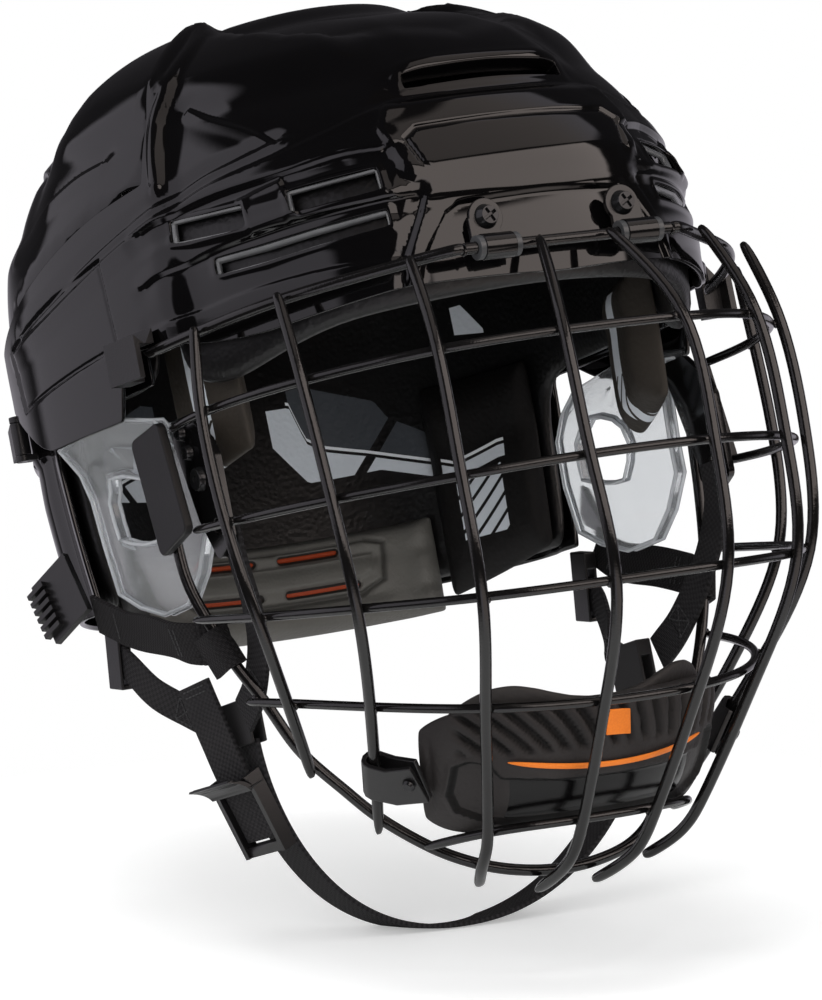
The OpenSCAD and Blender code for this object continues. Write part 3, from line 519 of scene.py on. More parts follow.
# Openings as turns and rises: slot under the hood, two vents above the cage, long slot below them
vent_low, vent_high = (up_the_brow((20.5, 33, 40, 53), share) for share in (0.57, 0.72))
slot_low, slot_high = (up_the_brow((20.5, 30, 38, 46.5), share) for share in (0.36, 0.46))
OPENINGS = {
    "hood": ([-13, -13, 0, 13, 13, 0], [30.96, 33.57, 33.57, 33.57, 30.96, 30.96]),
    "vent_near": ([-20.5, -33, -33, -20.5], [vent_low[0], vent_low[1], vent_high[1], vent_high[0]]),
    "vent_far": ([-40, -53, -53, -40], [vent_low[2], vent_low[3], vent_high[3], vent_high[2]]),
    "slot": ([-20.5, -30, -38, -46.5, -46.5, -38, -30, -20.5], slot_low + slot_high[::-1]),
}
# Lines of the front half, each through points measured on it in millimetres: the rib beside the
# crown, the side band, the vents' and slot's lips, the facet above them, the brow's plate, groove,
# clip field and corner, the bare plate on the side and the tab above the clip
RIB = [[-47.5, -10.7, 105.9], [-62.9, -25.5, 95.4], [-79.2, -34.9, 78.9], [-84.6, -35.1, 70.9],
       [-88.9, -39, 61.8], [-94, -45.3, 47.3]]
BAND = [[-108.4, 49.7, 14.6], [-111, 19.8, 18.2], [-109.3, -8.1, 23.8], [-102.6, -37.3, 31.8],
        [-97.9, -48, 34.7], [-86, -63.8, 40.4], [-75, -79.8, 43.3], [-62.5, -92.5, 46.6],
        [-51.1, -100.1, 49.9], [-38, -107.3, 54]]
BAND_OVER = [[-109.8, 39.9, 17.7], [-110.6, 14.7, 21.7], [-108.7, -8.4, 27.4], [-101.7, -37, 35.7],
             [-96.7, -47.3, 38.8], [-84.6, -62.6, 44.5], [-76.9, -74, 46.9], [-66, -86.5, 50]]
VENT_TOP = [[-98.5, -44, 31.5], [-95.4, -52.4, 33.7], [-87.3, -64.6, 36], [-74, -86, 37.2],
            [-65.7, -95.2, 38], [-55.5, -104.2, 39.1], [-45.8, -113.3, 38.2]]
SLOT_TOP = [[-103, -46, 14.2], [-101.1, -50.3, 15.6], [-90.9, -64.3, 18.3], [-79, -85.1, 19.9],
            [-63.1, -104.6, 20.9], [-48.3, -116.6, 21], [-40, -121.5, 21.2]]
SLOT_LOW = [[-103.9, -45.6, 0.1], [-95.8, -59.6, 1.6], [-83.5, -80.1, 3.4], [-66.5, -103.7, 3.4],
            [-49.9, -118.4, 1.6]]
FACET = [[-76.2, -46.5, 71.3], [-73.6, -59.3, 63.7], [-70.5, -72.6, 57.3], [-67.4, -85.1, 48.9]]
PLATE = [[-34.3, -117.7, 43.3], [-39, -117.7, 40.1], [-35.9, -123.6, 25.6], [0, -131, 25.2],
         [35.9, -123.6, 25.6], [39, -117.7, 40.1], [34.3, -117.7, 43.3], [0, -125, 43.4]]
GROOVE = [[-42.6, -120.5, 25.4], [-35.9, -123.6, 24.4], [-17.3, -129.3, 24], [0, -131, 23.9],
          [10, -130.3, 23.9]]
CLIP_FIELD = [[-42.8, -122.8, 0.2], [-34, -125.3, 13.4], [-29.3, -126.4, 15.9], [0, -131, 16.4],
              [29.3, -126.4, 15.9], [34, -125.3, 13.4], [42.8, -122.8, 0.2], [49, -119, -18],
              [-49, -119, -18]]
BROW_SIDE = [[-42.1, -120.5, 25.7], [-38.1, -122.4, 20.6], [-41.1, -121.8, 13.9], [-47.6, -119.9, 1],
             [-49, -118, -10]]
SIDE_PLATE = [[-107.7, 53, 14.9], [-106.5, -22.7, 28.2], [-107.9, -27.7, -1.1], [-108.8, 48.4, -6.4]]
TAB = drawn([-40.3, -33.6, -32.2, -39.2], [15.6, 17.6, 10.6, 9.6])
SMALL_OPENINGS = ("vent_near", "vent_far", "slot")
DOWN = (0, 0, -1)
# Their sections: pairs of a distance from the line and the height there, in millimetres
FRONT_LINES = [
    (Line(RIB, (0, -1, 0.6), True), [(-0.5, 0), (0.8, 0.9), (2.6, 1.5), (4.4, 0.9), (5.6, 0)]),
    (Line(BAND, DOWN, True), [(-5, 0), (-0.5, -0.3), (0.7, 0.7), (3, 0.4), (8, 0)]),
    (Line(BAND_OVER, DOWN, True), [(-6, 0), (-0.5, -0.5), (0.6, 0.3), (3, 0)]),
    (Line(VENT_TOP, DOWN, True), [(-8, 0), (-0.8, 0.9), (0.8, -0.9), (5, -0.9), (9, 0)]),
    (Line(SLOT_TOP, DOWN, True), [(-6, 0), (-0.8, 0.7), (0.8, -0.7), (3, -0.3), (7, 0)]),
    (Line(SLOT_LOW, DOWN, True), [(-5, 0), (-0.7, -0.5), (0.8, 0.5), (6, 0)]),
    (Line(FACET, (0, -1, -0.5), True), [(-6, 0), (-0.7, -0.5), (0.6, 0.3), (5, 0)]),
    (Line(PLATE), [(-0.9, 0), (-0.3, -1.1), (0.3, -1.1), (1.0, -0.35), (60, -0.35)]),
    (Line(GROOVE, DOWN), [(-0.9, 0), (-0.3, -0.6), (0.3, -0.6), (1.0, 0.0)]),
    (Line(CLIP_FIELD), [(-0.9, 0), (0.9, -1.0), (60, -0.8)]),
    (Line(BROW_SIDE, (1, -0.4, 0)), [(-5, 0), (-0.8, -0.7), (0.8, 0.6), (6, 0)]),
    (Line(TAB), [(-1.0, 0), (0.8, 1.1), (60, 1.1)]),
    (Line(SIDE_PLATE), [(-0.9, 0), (-0.3, -0.8), (0.3, -0.9), (0.9, -0.45), (60, -0.45)]),
    (Line(drawn(*OPENINGS["hood"])), [(-4.5, 0), (-2, 0.45), (-0.6, 0.5), (1, 0.3)]),
] + [(Line(drawn(*OPENINGS[name])), [(-2.4, 0), (-0.9, 0.5), (1, 0.4)]) for name in SMALL_OPENINGS]
front = smoothed(eased(merged("front_shell"), 0.0006, 1), "front_shell_moulding", 2)
reshaped(front, front_level, FRONT_LINES, (99, 2.0))
fitted(front, "helmet", ["front_shell"], gloss)

# The rear half, with its side crease, raised spine, rib, two closed recesses a side and nape line
rear = smoothed(eased(merged("rear_shell"), 0.0006, 1), "rear_shell_moulding", 2)
REAR_CREASE = [[-97.3, 54.2, 49.6], [-97.3, 29, 57.4], [-94.8, 6.8, 62.7], [-92.2, -8.5, 63.8]]
SPINE = drawn([-179.9, -168, -160, -158, -161, -164, -164, -161, -158],
              [66, 65, 60, 52, 40, 24, 8, -8, -28])
REAR_RIB = drawn([-108, -120, -134, -147, -156], [38, 40.5, 40, 37, 32])
RECESSES = [drawn([-126, -145, -149, -131], [52, 47, 54.5, 60]),
            drawn([-130, -147, -151, -133], [24, 19, 25, 31])]
NAPE = drawn([-121, -136, -150, -160, -168, -178], [-11, -12.5, -14, -17, -20, -21.5])
REAR_LINES = [
    (Line(REAR_CREASE, DOWN, True), [(-8, 0), (-0.8, -0.5), (0.8, 0.4), (8, 0)]),
    (Line(SPINE, (0.7, 0.5, -0.5), True), [(-6, 0), (-0.7, -0.5), (0.8, 1.0), (60, 1.0)]),
    (Line(REAR_RIB, DOWN, True), [(-6, 0), (-0.7, 0.6), (0.8, -0.7), (6, 0)]),
    (Line(NAPE, DOWN, True), [(-5, 0), (-0.7, 0.5), (0.8, -0.8), (7, -0.4), (14, 0)]),
] + [(Line(recess), [(-2.4, 0), (-0.9, 0.6), (0.9, -1.7), (60, -1.7)]) for recess in RECESSES]
reshaped(rear, rear_level, REAR_LINES, (99, 5.0, 2.2))
fitted(rear, "rear_half", ["rear_shell"], gloss)

# Pale lips inside the vents, where the wall of the shell is bevelled and catches the light: a
# painted highlight, pale grey on the black shell
lip_highlight = Finish("vent_lip_highlight")
patches = lip_highlight.noise(200.0)
# Painted highlight: a pale grey colour for the light on the vents' bevelled walls
lip_highlight.surface(Base_Color=lip_highlight.blend(patches, (0.10, 0.10, 0.105, 1), (0.15, 0.15, 0.155, 1)),
                 Roughness=0.2 + 0.1 * lip_highlight.noise(900.0))
# Each lip joins two rings inside its opening, given by inset, slide and depth in millimetres
TURN_MM, RISE_MM = 2.25, 1.9
shape = bmesh.new()
for name in SMALL_OPENINGS:
    turns, rises = (np.array(v, float) for v in OPENINGS[name])
    base = front_level(turns, rises)
    slope = 1 if name == "slot" else -0.6
    for way in (1, -1):
        loops = []
        for inset, slide, off in ((0.1, 0.0, -1.0), (0.75, 0.5, -3.2)):
            t = turns - (np.sign(turns - turns.mean()) * inset - slide) / TURN_MM
            r = rises - (np.sign(rises - rises.mean()) * inset + slide * slope) / RISE_MM
            ring = [shape.verts.new(p / 1000) for p in form(way * t, r, base + off)]
            loops += [shape.edges.new((a, b)) for a, b in zip(ring, ring[1:] + ring[:1])]
        bmesh.ops.bridge_loops(shape, edges=loops)
bmesh.ops.recalc_face_normals(shape, faces=shape.faces)


# A sheet gets its thickness to both sides alike, and broken edges where it is cut
def thickened(item, thick, broken=0.0):
    wall = item.modifiers.new("thickness", "SOLIDIFY")
    wall.thickness = thick
    wall.offset = 0
    if broken:
        edges = item.modifiers.new("edges", "BEVEL")
        edges.width = broken
        edges.segments = 2
        edges.limit_method = "ANGLE"
    return item


fitted(thickened(stored(shape, "vent_lips"), 0.0006), "helmet", [], lip_highlight)


# Impact foam. A black moulded lining fills each half of the shell, with a fine pebbled skin. The
# rear one is printed inside with a grey band, a thin outline and slanting bars.
def turned_from_front(points):
    return np.degrees(np.arctan2(np.abs(points[:, 0]), SHELL_MIDDLE - points[:, 1]))


# A map wrapped round the head: u is the turn over 100 and v the height in decimetres
def wrapped_map(item):
    points, _ = points_of(item)
    turn = turned_from_front(points)
    layer = item.data.uv_layers.new(name="wrap")
    corners = np.zeros(len(item.data.loops), int)
    item.data.loops.foreach_get("vertex_index", corners)
    layer.data.foreach_set("uv", np.stack([turn[corners] / 100, points[corners, 2] / 100], 1).ravel())
    return item


PRINT_GREY, PRINT_PALE = (0.62, 0.655, 0.70, 1), (0.75, 0.77, 0.8, 1)


# What is printed on the lining, drawn by the turn and the height that the wrapped map gives
class Print:
    def __init__(self, finish):
        spot = finish.coordinates(finish.node("ShaderNodeUVMap", {"uv_map": "wrap"}))
        self.finish = finish
        self.turn = spot[0] * 100
        self.height = spot[1] * 100

    # Height in millimetres that a drawn line has at each turn round the head
    def line(self, *stops):
        low, high = -80, 20
        shades = [(t / 180, ((z - low) / (high - low),) * 3 + (1,)) for t, z in stops]
        course = self.finish.node("ShaderNodeValToRGB", {"stops": shades}, {0: self.turn / 180})
        return course * (high - low) + low

    def between(self, low, high):
        return (self.turn > low) * (self.turn < high)

    def thin(self, line, low, high):
        return (abs(self.height - line) < 0.55) * self.between(low, high)

    def slanted(self, slope, pitch, bare):
        return (self.height + slope * self.turn).wrapped(pitch) > bare


def foam_finish(name, dark, light):
    finish = Finish(name)
    pebbles = finish.cells(620.0)
    cloud = finish.noise(28.0, 4.0)
    shade = finish.blend(cloud, dark, light)
    normal = finish.bump(pebbles, 0.00035, 0.55, finish.bump(finish.noise(3200.0, 2.0), 0.00012, 0.4))
    return finish, shade, normal, cloud


impact, shade, normal, cloud = foam_finish("impact_foam", (0.0012, 0.0011, 0.0012, 1),
                                           (0.0028, 0.0026, 0.0028, 1))
printed = Print(impact)
upper_line = printed.line((123, -31), (137, -28), (148, -15), (150, -8), (163, 2), (168, 1))
outline = printed.line((123, -34), (135, -37.5), (153, -25.6), (161, -21), (164, -17), (166, -3))
lower_line = printed.line((123, -38), (135, -43.5), (151, -33), (165, -33), (171, -17))
split = (abs(printed.turn - (139.5 - 0.47 * printed.height)) > 1.2)
field = (printed.height < upper_line) * (printed.height > outline) * printed.between(123, 166) * split
band = (printed.height < outline - 1.7) * (printed.height > lower_line) * split
band = band * printed.between(123, 170.5)
bars_low = printed.line((123, -60), (128, -69), (136, -70), (137, -44))
bars = (printed.height < lower_line - 1.2) * (printed.height > bars_low) * printed.between(123, 136)
bars = bars * printed.slanted(1.3, 6.2, 1.6)
patch = (printed.height > 6 + 0.3 * (printed.turn - 124)) * (printed.height < 18)
patch = patch * printed.between(124, 131) * (printed.height < 7.5 + 2.4 * (printed.turn - 124))
shade = impact.blend(field, shade, (0.045, 0.05, 0.058, 1))
shade = impact.blend(band.most(bars).most(patch), shade, PRINT_GREY)
shade = impact.blend(printed.thin(outline, 123.5, 166.5), shade, PRINT_PALE)
impact.surface(Base_Color=shade, Roughness=0.33 + 0.16 * cloud, Normal=normal)
for node, body in (("front_liner", "helmet"), ("rear_liner", "rear_half")):
    item = wrapped_map(smoothed(merged(node), node + "_foam", 2))
    fitted(item, body, [node], impact)


# Comfort pads. Soft moulded foam with a suede-like skin, glued to the impact foam at the brow, the
# crown, the temples and behind the ears. The rear ones carry on the lining's print, and the
# temple pads, of a browner foam that is also painted lighter for a painted sheen, have a barred strip.
for name, dark, light, pads in (
        ("comfort_foam", (0.0022, 0.0019, 0.0019, 1), (0.0062, 0.0054, 0.0052, 1),
         {"brow_pad": "helmet", "crown_pad": "helmet", "rear_side_pad_right": "rear_half",
          "rear_side_pad_left": "rear_half"}),
        # Temple pads: a browner foam, also painted lighter as a painted sheen
        ("temple_foam", (0.014, 0.012, 0.010, 1), (0.046, 0.038, 0.030, 1),
         {"temple_pad_right": "helmet", "temple_pad_left": "helmet"})):
    comfort, shade, normal, cloud = foam_finish(name, dark, light)
    printed = Print(comfort)
    strip = printed.between(58.5, 63) * (printed.height < -2) * (printed.height > -52)
    strip = strip * (printed.slanted(2.2, 7.0, 1.8).most(printed.height > -30))
    outline = printed.line((123, -34), (135, -37.5), (153, -25.6))
    band = (printed.height < outline - 1.7) * (printed.height > outline - 6) * printed.between(121, 138)
    bars = (printed.height < outline - 8) * (printed.height > -66) * printed.between(122.5, 135)
    bars = bars * printed.slanted(1.3, 6.2, 1.6)
    shade = comfort.blend(strip.most(band).most(bars), shade, PRINT_GREY)
    shade = comfort.blend(printed.thin(outline, 121, 138), shade, PRINT_PALE)
    comfort.surface(Base_Color=shade, Roughness=0.56 + 0.2 * cloud, Normal=normal,
                    Specular_IOR_Level=0.35)
    for node, body in pads.items():
        item = wrapped_map(smoothed(merged(node), node + "_soft", 2))
        fitted(item, body, [node], comfort)


# Pad under the back of the head: a grey soft moulding with two pressed channels, whose slots show
# the orange foam that it is bonded to.
neck = Finish("neck_pad_foam")
grain = neck.cells(900.0)
cloud = neck.noise(40.0, 3.0)
shade = neck.blend(cloud, (0.088, 0.084, 0.076, 1), (0.13, 0.124, 0.112, 1))
slot = neck.painted("slot")
# Painted shade: the pressed channels are darkened, and the slot walls round the orange foam darker
# still
shade = neck.blend(neck.painted("channel") * 0.7, shade, (0.02, 0.019, 0.017, 1))
shade = neck.blend(slot > 0.3, shade, (0.012, 0.011, 0.01, 1))
shade = neck.blend(slot > 0.74, shade, (0.28, 0.036, 0.006, 1))
neck.surface(Base_Color=shade, Roughness=0.5 + 0.2 * cloud,
             Normal=neck.bump(grain, 0.0003, 0.5, neck.bump(neck.noise(2600.0, 2.0), 0.0001, 0.4)))


# Values at each point of a piece, which its material reads
def paint(item, **fields):
    for name, values in fields.items():
        item.data.attributes.new(name, "FLOAT", "POINT").data.foreach_set("value", values)


# How far points on a flat face lie inside an outline on it, less than zero outside
def inside(across, up, outline):
    p = np.stack([across, up], 1)
    ring = np.array(outline + outline[:1], float)
    best = np.full(len(p), 1e9)
    within = np.zeros(len(p), bool)
    for a, b in zip(ring, ring[1:]):
        t = np.clip((p - a) @ (b - a) / ((b - a) @ (b - a)), 0, 1)
        best = np.minimum(best, np.linalg.norm(p - a - t[:, None] * (b - a), axis=1))
        cut = (a[1] > up) != (b[1] > up)
        with np.errstate(divide="ignore", invalid="ignore"):
            within ^= cut & (across < (b[0] - a[0]) * (up - a[1]) / (b[1] - a[1]) + a[0])
    return np.where(within, best, -best)


# The pressed frame is given by distance round the pad and height. A slot is given by its height,
# the turns of its ends and how deep it is.
NECK_MM = 1.9
NECK_FRAME = [[292, -60], [300, -57.5], [360, -57.5], [360, -77], [304, -77], [294, -73]]
NECK_SLOTS = ((-60.8, 164.5, 176.5, 1.0), (-73.6, 161, 176.5, 0.82))
item = smoothed(merged("occipital_pad"), "occipital_pad_soft", 3)
points, normals = points_of(item)
turn = turned_from_front(points)
to_head = np.stack([-points[:, 0], 20 - points[:, 1], np.zeros(len(points))], 1)
inward = ramp((normals * to_head).sum(1), 10, 40)
framed = inside(turn * NECK_MM, points[:, 2], NECK_FRAME)
channel = np.exp(-(framed / 0.9) ** 2)
slot = np.zeros(len(turn))
for height, low, high, deep in NECK_SLOTS:
    past_end = np.maximum(np.abs((turn - (low + high) / 2)) - (high - low) / 2, 0) * NECK_MM
    away = np.hypot(past_end, points[:, 2] - height)
    slot = np.maximum(slot, deep * (1 - ramp(away, 0.5, 2.6)))
plate = ramp(framed, 4.0, 5.5) * (1 - ramp(np.abs(points[:, 2] + 67.2), 3.6, 4.8))
moved(item, points + normals * ((plate * 1.5 - 1.7 * channel - 2.4 * slot) * inward)[:, None])
paint(item, channel=channel * inward, slot=slot * inward)
fitted(item, "rear_half", ["occipital_pad"], neck)


# Ear guards, pressed from clear polycarbonate with a stiffening rim and a framed window. They are
# slightly hazed, and their edges gather the light: the round bead along them is paler and less
# clear than the sheet, a painted highlight
clear_sheet = Finish("clear_plastic")
haze = clear_sheet.noise(60.0, 3.0)
clear_sheet.surface(Base_Color=clear_sheet.blend(haze, (0.82, 0.84, 0.87, 1), (0.89, 0.91, 0.93, 1)),
                    Roughness=0.04 + 0.08 * haze, IOR=1.5, Transmission_Weight=0.88,
                    Normal=clear_sheet.bump(haze, 0.0002, 0.2))
# Painted highlight: the edge bead is paler and less clear than the sheet, for the light its edges catch
bead_highlight = Finish("clear_bead_highlight")
patches = bead_highlight.noise(300.0)
bead_highlight.surface(Base_Color=bead_highlight.blend(patches, (0.55, 0.57, 0.6, 1), (0.75, 0.77, 0.8, 1)),
                   Roughness=0.08 + 0.1 * bead_highlight.noise(900.0), IOR=1.5,
                   Transmission_Weight=0.45)


# Round bead along every sharp edge of a moulding. Edges are joined end to end into chains, each
# from a first edge both ways, and a chain is the path of one bead.
def beaded(shape, name):
    curve = bpy.data.curves.new(name, "CURVE")
    curve.dimensions = "3D"
    curve.bevel_depth = 0.0007
    curve.bevel_resolution = 2
    left = dict.fromkeys(sharp_edges(shape, 55))
    while left:
        edge = next(iter(left))
        del left[edge]
        chain = list(edge.verts)
        for _ in range(2):
            while True:
                onward = [e for e in chain[-1].link_edges if e in left]
                if len(onward) != 1:
                    break
                del left[onward[0]]
                chain.append(onward[0].other_vert(chain[-1]))
            chain.reverse()
        closed = chain[0] is chain[-1]
        chain = chain[:-1] if closed else chain
        spline = curve.splines.new("POLY")
        spline.points.add(len(chain) - 1)
        for point, vert in zip(spline.points, chain):
            point.co = (*vert.co, 1)
        spline.use_cyclic_u = closed
    curve.use_fill_caps = True
    shape.free()
    holder = bpy.data.objects.new(name + "_curve", curve)
    scene.collection.objects.link(holder)
    made = evaluated(holder)
    bpy.data.objects.remove(holder)
    bpy.data.curves.remove(curve)
    return item_of(made, name)


def evenly_shaded(item):
    item.modifiers.new("shade", "WEIGHTED_NORMAL").keep_sharp = True
    return item


for side in ("right", "left"):
    node = "ear_guard_" + side
    sheet = evenly_shaded(stored(eased(merged(node, False), 0.0007, 2, 14), node + "_sheet"))
    fitted(sheet, "helmet", [node], clear_sheet)
    fitted(beaded(merged(node, False), node + "_bead"), "helmet", [], bead_highlight)


# Fittings of the shell: temple brackets, side clips, brow clips and the size locks with their ears.
# Injection-moulded black nylon, satin, with a fine spark-eroded grain and softly broken edges.
def satin(name, dark, light, rough, metallic=0.0, grain=1500.0, depth=0.00009):
    finish = Finish(name)
    cloud = finish.noise(45.0, 4.0)
    fine = finish.noise(grain, 2.0)
    finish.surface(Base_Color=finish.blend(cloud, dark + (1,), light + (1,)), Metallic=metallic,
                   Roughness=rough + 0.12 * cloud - 0.05 * fine, Normal=finish.bump(fine, depth, 0.5))
    return finish


def hard(node, body, finish, width=0.0003, segments=2):
    item = stored(eased(merged(node, False), width, segments), node + "_moulding")
    fitted(evenly_shaded(item), body, [node], finish)


polished = satin("clip_plastic", (0.0015, 0.0014, 0.0015), (0.003, 0.0028, 0.003), 0.12, depth=0.00003)
nylon = satin("fitting_plastic", (0.0035, 0.0032, 0.0035), (0.008, 0.0075, 0.008), 0.32)
for side in ("right", "left"):
    for part, width, finish in (("temple_bracket_", 0.0004, polished), ("j_clip_", 0.0013, nylon),
                                ("top_clip_", 0.0004, polished)):
        hard(part + side, "helmet", finish, width, 3)
    hard("size_lock_" + side, "size_lock_" + side, nylon)
hard("size_lock_ears", "rear_half", nylon, 0.0002)
ring_grey = satin("ring_grey", (0.03, 0.031, 0.033), (0.05, 0.051, 0.054), 0.3)
hard("clip_rings", "helmet", ring_grey, 0.0002)


# Fasteners: countersunk cross-headed screws that hold the brackets and clips, the pins that the
# size locks turn on, and the rivets of the cup, all in blackened steel.
steel = satin("fastener_steel", (0.02, 0.02, 0.021), (0.05, 0.05, 0.052), 0.13, 0.8, 2200.0, 0.00003)
for node, body in (("temple_screws_right", "helmet"), ("temple_screws_left", "helmet"),
                   ("clip_screws", "helmet"), ("size_lock_pins", "rear_half"), ("cup_rivets", "cage")):
    hard(node, body, steel, 0.00015)


# Cage. Round steel wires, bent cold and welded where they cross, under a black dip coat that runs
# thick over the welds. The cut ends are rounded by the coat.
coat = Finish("cage_wire")
runs = coat.noise(220.0, 3.0)
specks = coat.noise(1500.0, 2.0)
coat.surface(Base_Color=coat.blend(runs, (0.0022, 0.002, 0.002, 1), (0.0055, 0.005, 0.005, 1)),
             Roughness=0.055 + 0.06 * runs + 0.05 * specks,
             Normal=coat.bump(runs, 0.00018, 0.3, coat.bump(specks, 0.00008, 0.4)))
MAIN_WIRE, CROSS_WIRE = 1.9, 1.5
WIRES = {"cage_top_bar": None, "cage_top_arms": MAIN_WIRE, "cage_wires_right": MAIN_WIRE,
         "cage_wires_left": MAIN_WIRE, "cage_border": MAIN_WIRE, "cage_cross_upper": CROSS_WIRE,
         "cage_cross_lower": CROSS_WIRE}
# An eight-sided tube shrinks to this share of its radius when it is smoothed
OCTAGON_SHARE = (2 + math.cos(math.radians(45))) / 3
laid = {}
for node, radius in WIRES.items():
    if radius is None:
        item = stored(eased(merged(node, False), 0.0004, 2), node + "_wire")
    else:
        shape = merged(node)
        shape.normal_update()
        for vert in shape.verts:
            vert.co += vert.normal * radius * (1 / OCTAGON_SHARE - 1) / 1000
        item = smoothed(shape, node + "_wire", 2)
    laid[node] = fitted(item, "cage", [node], coat)


def tree_of(item):
    return BVHTree.FromPolygons([v.co for v in item.data.vertices],
                                [p.vertices for p in item.data.polygons])


# Turns a shape's own Z to point along a way
def along(way):
    return way.to_track_quat("Z", "Y").to_matrix().to_4x4()


# A weld lies wherever two wires all but touch. Steps from one wire to the other and back close in
# on the place, and a flat blob of metal goes there.
NEAR_WIRE, TOUCHING, WELDS_APART = 0.0015, 0.0006, 0.003
WELD_SIZE = Matrix.Diagonal((0.0015, 0.0015, 0.0008, 1))
trees = {node: tree_of(item) for node, item in laid.items()}
welds = []
names = list(laid)
for a, b in [(a, b) for k, a in enumerate(names) for b in names[k + 1:]]:
    for vert in laid[a].data.vertices:
        there = trees[b].find_nearest(vert.co, NEAR_WIRE)[0]
        if there is None:
            continue
        for _ in range(8):
            here = trees[a].find_nearest(there)[0]
            there = trees[b].find_nearest(here)[0]
        middle = (here + there) / 2
        new = all((middle - other).length > WELDS_APART for other, _ in welds)
        if new and (here - there).length < TOUCHING:
            welds.append((middle, trees[b].find_nearest(here)[1]))
shape = bmesh.new()
for middle, way in welds:
    bmesh.ops.create_icosphere(shape, subdivisions=2, radius=1,
                               matrix=Matrix.Translation(middle) @ along(way) @ WELD_SIZE)
fitted(stored(shape, "cage_welds"), "cage", [], coat)


# Side plates of the cage: thin moulded plates of dull black plastic, with rounded edges round a
# bare face, clipped on the wires.
plate_plastic = satin("plate_plastic", (0.0012, 0.0011, 0.0013), (0.0028, 0.0026, 0.003), 0.5,
                      grain=900.0, depth=0.00006)
for side in ("right", "left"):
    hard("side_plate_" + side, "cage", plate_plastic, 0.0007, 3)


# Chin cup. A moulded cup of dense foam under a grained skin, its upper part pressed into slanted
# ribs, with a bare gloss panel in front and an orange piping line sewn along the panel's top.
CUP_HALF, CUP_HEIGHT = 59, 50


# Where points lie on the cup: a from end to end, -1 to 1, b from its foot to its top, 0 to 1, and
# the depth below its outside in millimetres
def on_cup(points):
    a = points[:, 0] / 56
    for _ in range(4):
        low = np.stack([51.92 * a, -90.5 + 26 * a * a, -181.5 + 4 * a * a], 1)
        top = np.stack([CUP_HALF * a, -116 + 29 * a * a, -145 + 7 * a * a], 1)
        run = top - low
        b = ((points - low) * run).sum(1) / (run * run).sum(1)
        a = points[:, 0] / (51.92 + 7.08 * np.clip(b, 0, 1.2))
    way = np.stack([-0.75 * a, np.full(len(a), 0.72), np.full(len(a), 0.3)], 1)
    way /= np.linalg.norm(way, axis=1)[:, None]
    depth = ((points - low - b[:, None] * run) * way).sum(1)
    return a, b, depth + 4 * np.sin(np.pi * np.clip(b, 0, 1)) * (1 - a ** 4)


skin = Finish("cup_skin")
cloud = skin.noise(38.0, 4.0)
panel = skin.painted("bare") > 0.5
shade = skin.blend(cloud, (0.013, 0.0113, 0.0112, 1), (0.026, 0.023, 0.0225, 1))
# Painted shade: the rib grooves are darkened almost to black
shade = skin.blend(skin.painted("worn") * 0.92, shade, (0.001, 0.001, 0.001, 1))
# Painted shade: a near-black line along the outline of the pressed field, where its groove lies
shade = skin.blend(abs(skin.painted("sunk") - 0.2) < 0.75, shade, (0.0008, 0.0008, 0.0008, 1))
shade = skin.blend(panel, shade, (0.0012, 0.0011, 0.0012, 1))
fine = skin.bump(skin.noise(2600.0, 2.0), 0.0001, 0.4)
skin.surface(Base_Color=shade, Roughness=(0.5 + 0.16 * cloud) * (1 - panel * 0.68),
             Specular_IOR_Level=0.3,
             Normal=skin.bump(skin.cells(850.0) * (1 - panel * 0.93), 0.00028, 0.5, fine))

RIB_PITCH, RIB_DEPTH = 6.4, 2.2
CUP_FIELD = [[-52, 18], [-50.5, 29], [-47, 31], [-42, 30], [-38.5, 24.5], [-20, 22], [10, 21.5],
             [10, 4], [-36, 4.5], [-43, 7], [-50, 11.5]]
cup = smoothed(eased(merged("chin_cup_shell"), 0.0008, 1), "chin_cup_moulding", 3)
points, normals = points_of(cup)
a, b, depth = on_cup(points)
from_middle = np.abs(a)
outer = (1 - ramp(depth, 1.5, 3.5)) * ramp((normals @ np.array([0, -0.85, -0.3])), -0.2, 0.3)
slant = np.interp(a, [-1, -0.5, 0, 0.5, 1], [1.3, 1.1, 0.4, -0.1, -0.5])
across_ribs = CUP_HALF * (a + slant * (b - 0.8) * 0.6)
ribs = 0.5 - 0.5 * np.cos(across_ribs * 2 * np.pi / RIB_PITCH)
rib_field = ramp(b, 0.64, 0.69) * (1 - ramp(b, 0.95, 1.0)) * (1 - ramp(from_middle, 0.80, 0.86))
grooves = ramp(ribs, 0.45, 0.85) * rib_field
# Ends of the cup: a sewn edge line, and a pressed field that runs round the front
sewn = np.exp(-((from_middle - 0.94) * CUP_HALF / 0.7) ** 2)
sewn = sewn * ramp(b, 0.08, 0.2) * (1 - ramp(b, 0.82, 0.92))
field = inside(-from_middle * CUP_HALF, b * CUP_HEIGHT, CUP_FIELD)
pressed = np.interp(field, [-1.6, -0.5, 0.3, 1.0, 60], [0, 0.5, -1.2, -1.8, -1.5])
relief = pressed - RIB_DEPTH * grooves - 0.6 * sewn
moved(cup, points + normals * (relief * outer)[:, None])
# worn marks the rib grooves, where shade is painted
paint(cup, worn=np.clip(grooves, 0, 1) * outer,
      bare=ramp(field, 0.4, 1.2) * (1 - ramp(from_middle * CUP_HALF, 35.5, 37.5)) * (outer > 0.9),
      sunk=np.where(outer > 0.9, np.clip(field, -5, 5), -5.0))
fitted(cup, "cage", ["chin_cup_shell"], skin)

# Foam on the inside of the cup, with ribs across its top edge
cup_foam, shade, normal, cloud = foam_finish("cup_foam", (0.012, 0.0105, 0.010, 1),
                                             (0.024, 0.021, 0.02, 1))
cup_foam.surface(Base_Color=shade, Roughness=0.6 + 0.15 * cloud, Normal=normal)
item = smoothed(merged("chin_cup_pad"), "chin_cup_pad_soft", 2)
fitted(item, "cage", ["chin_cup_pad"], cup_foam)

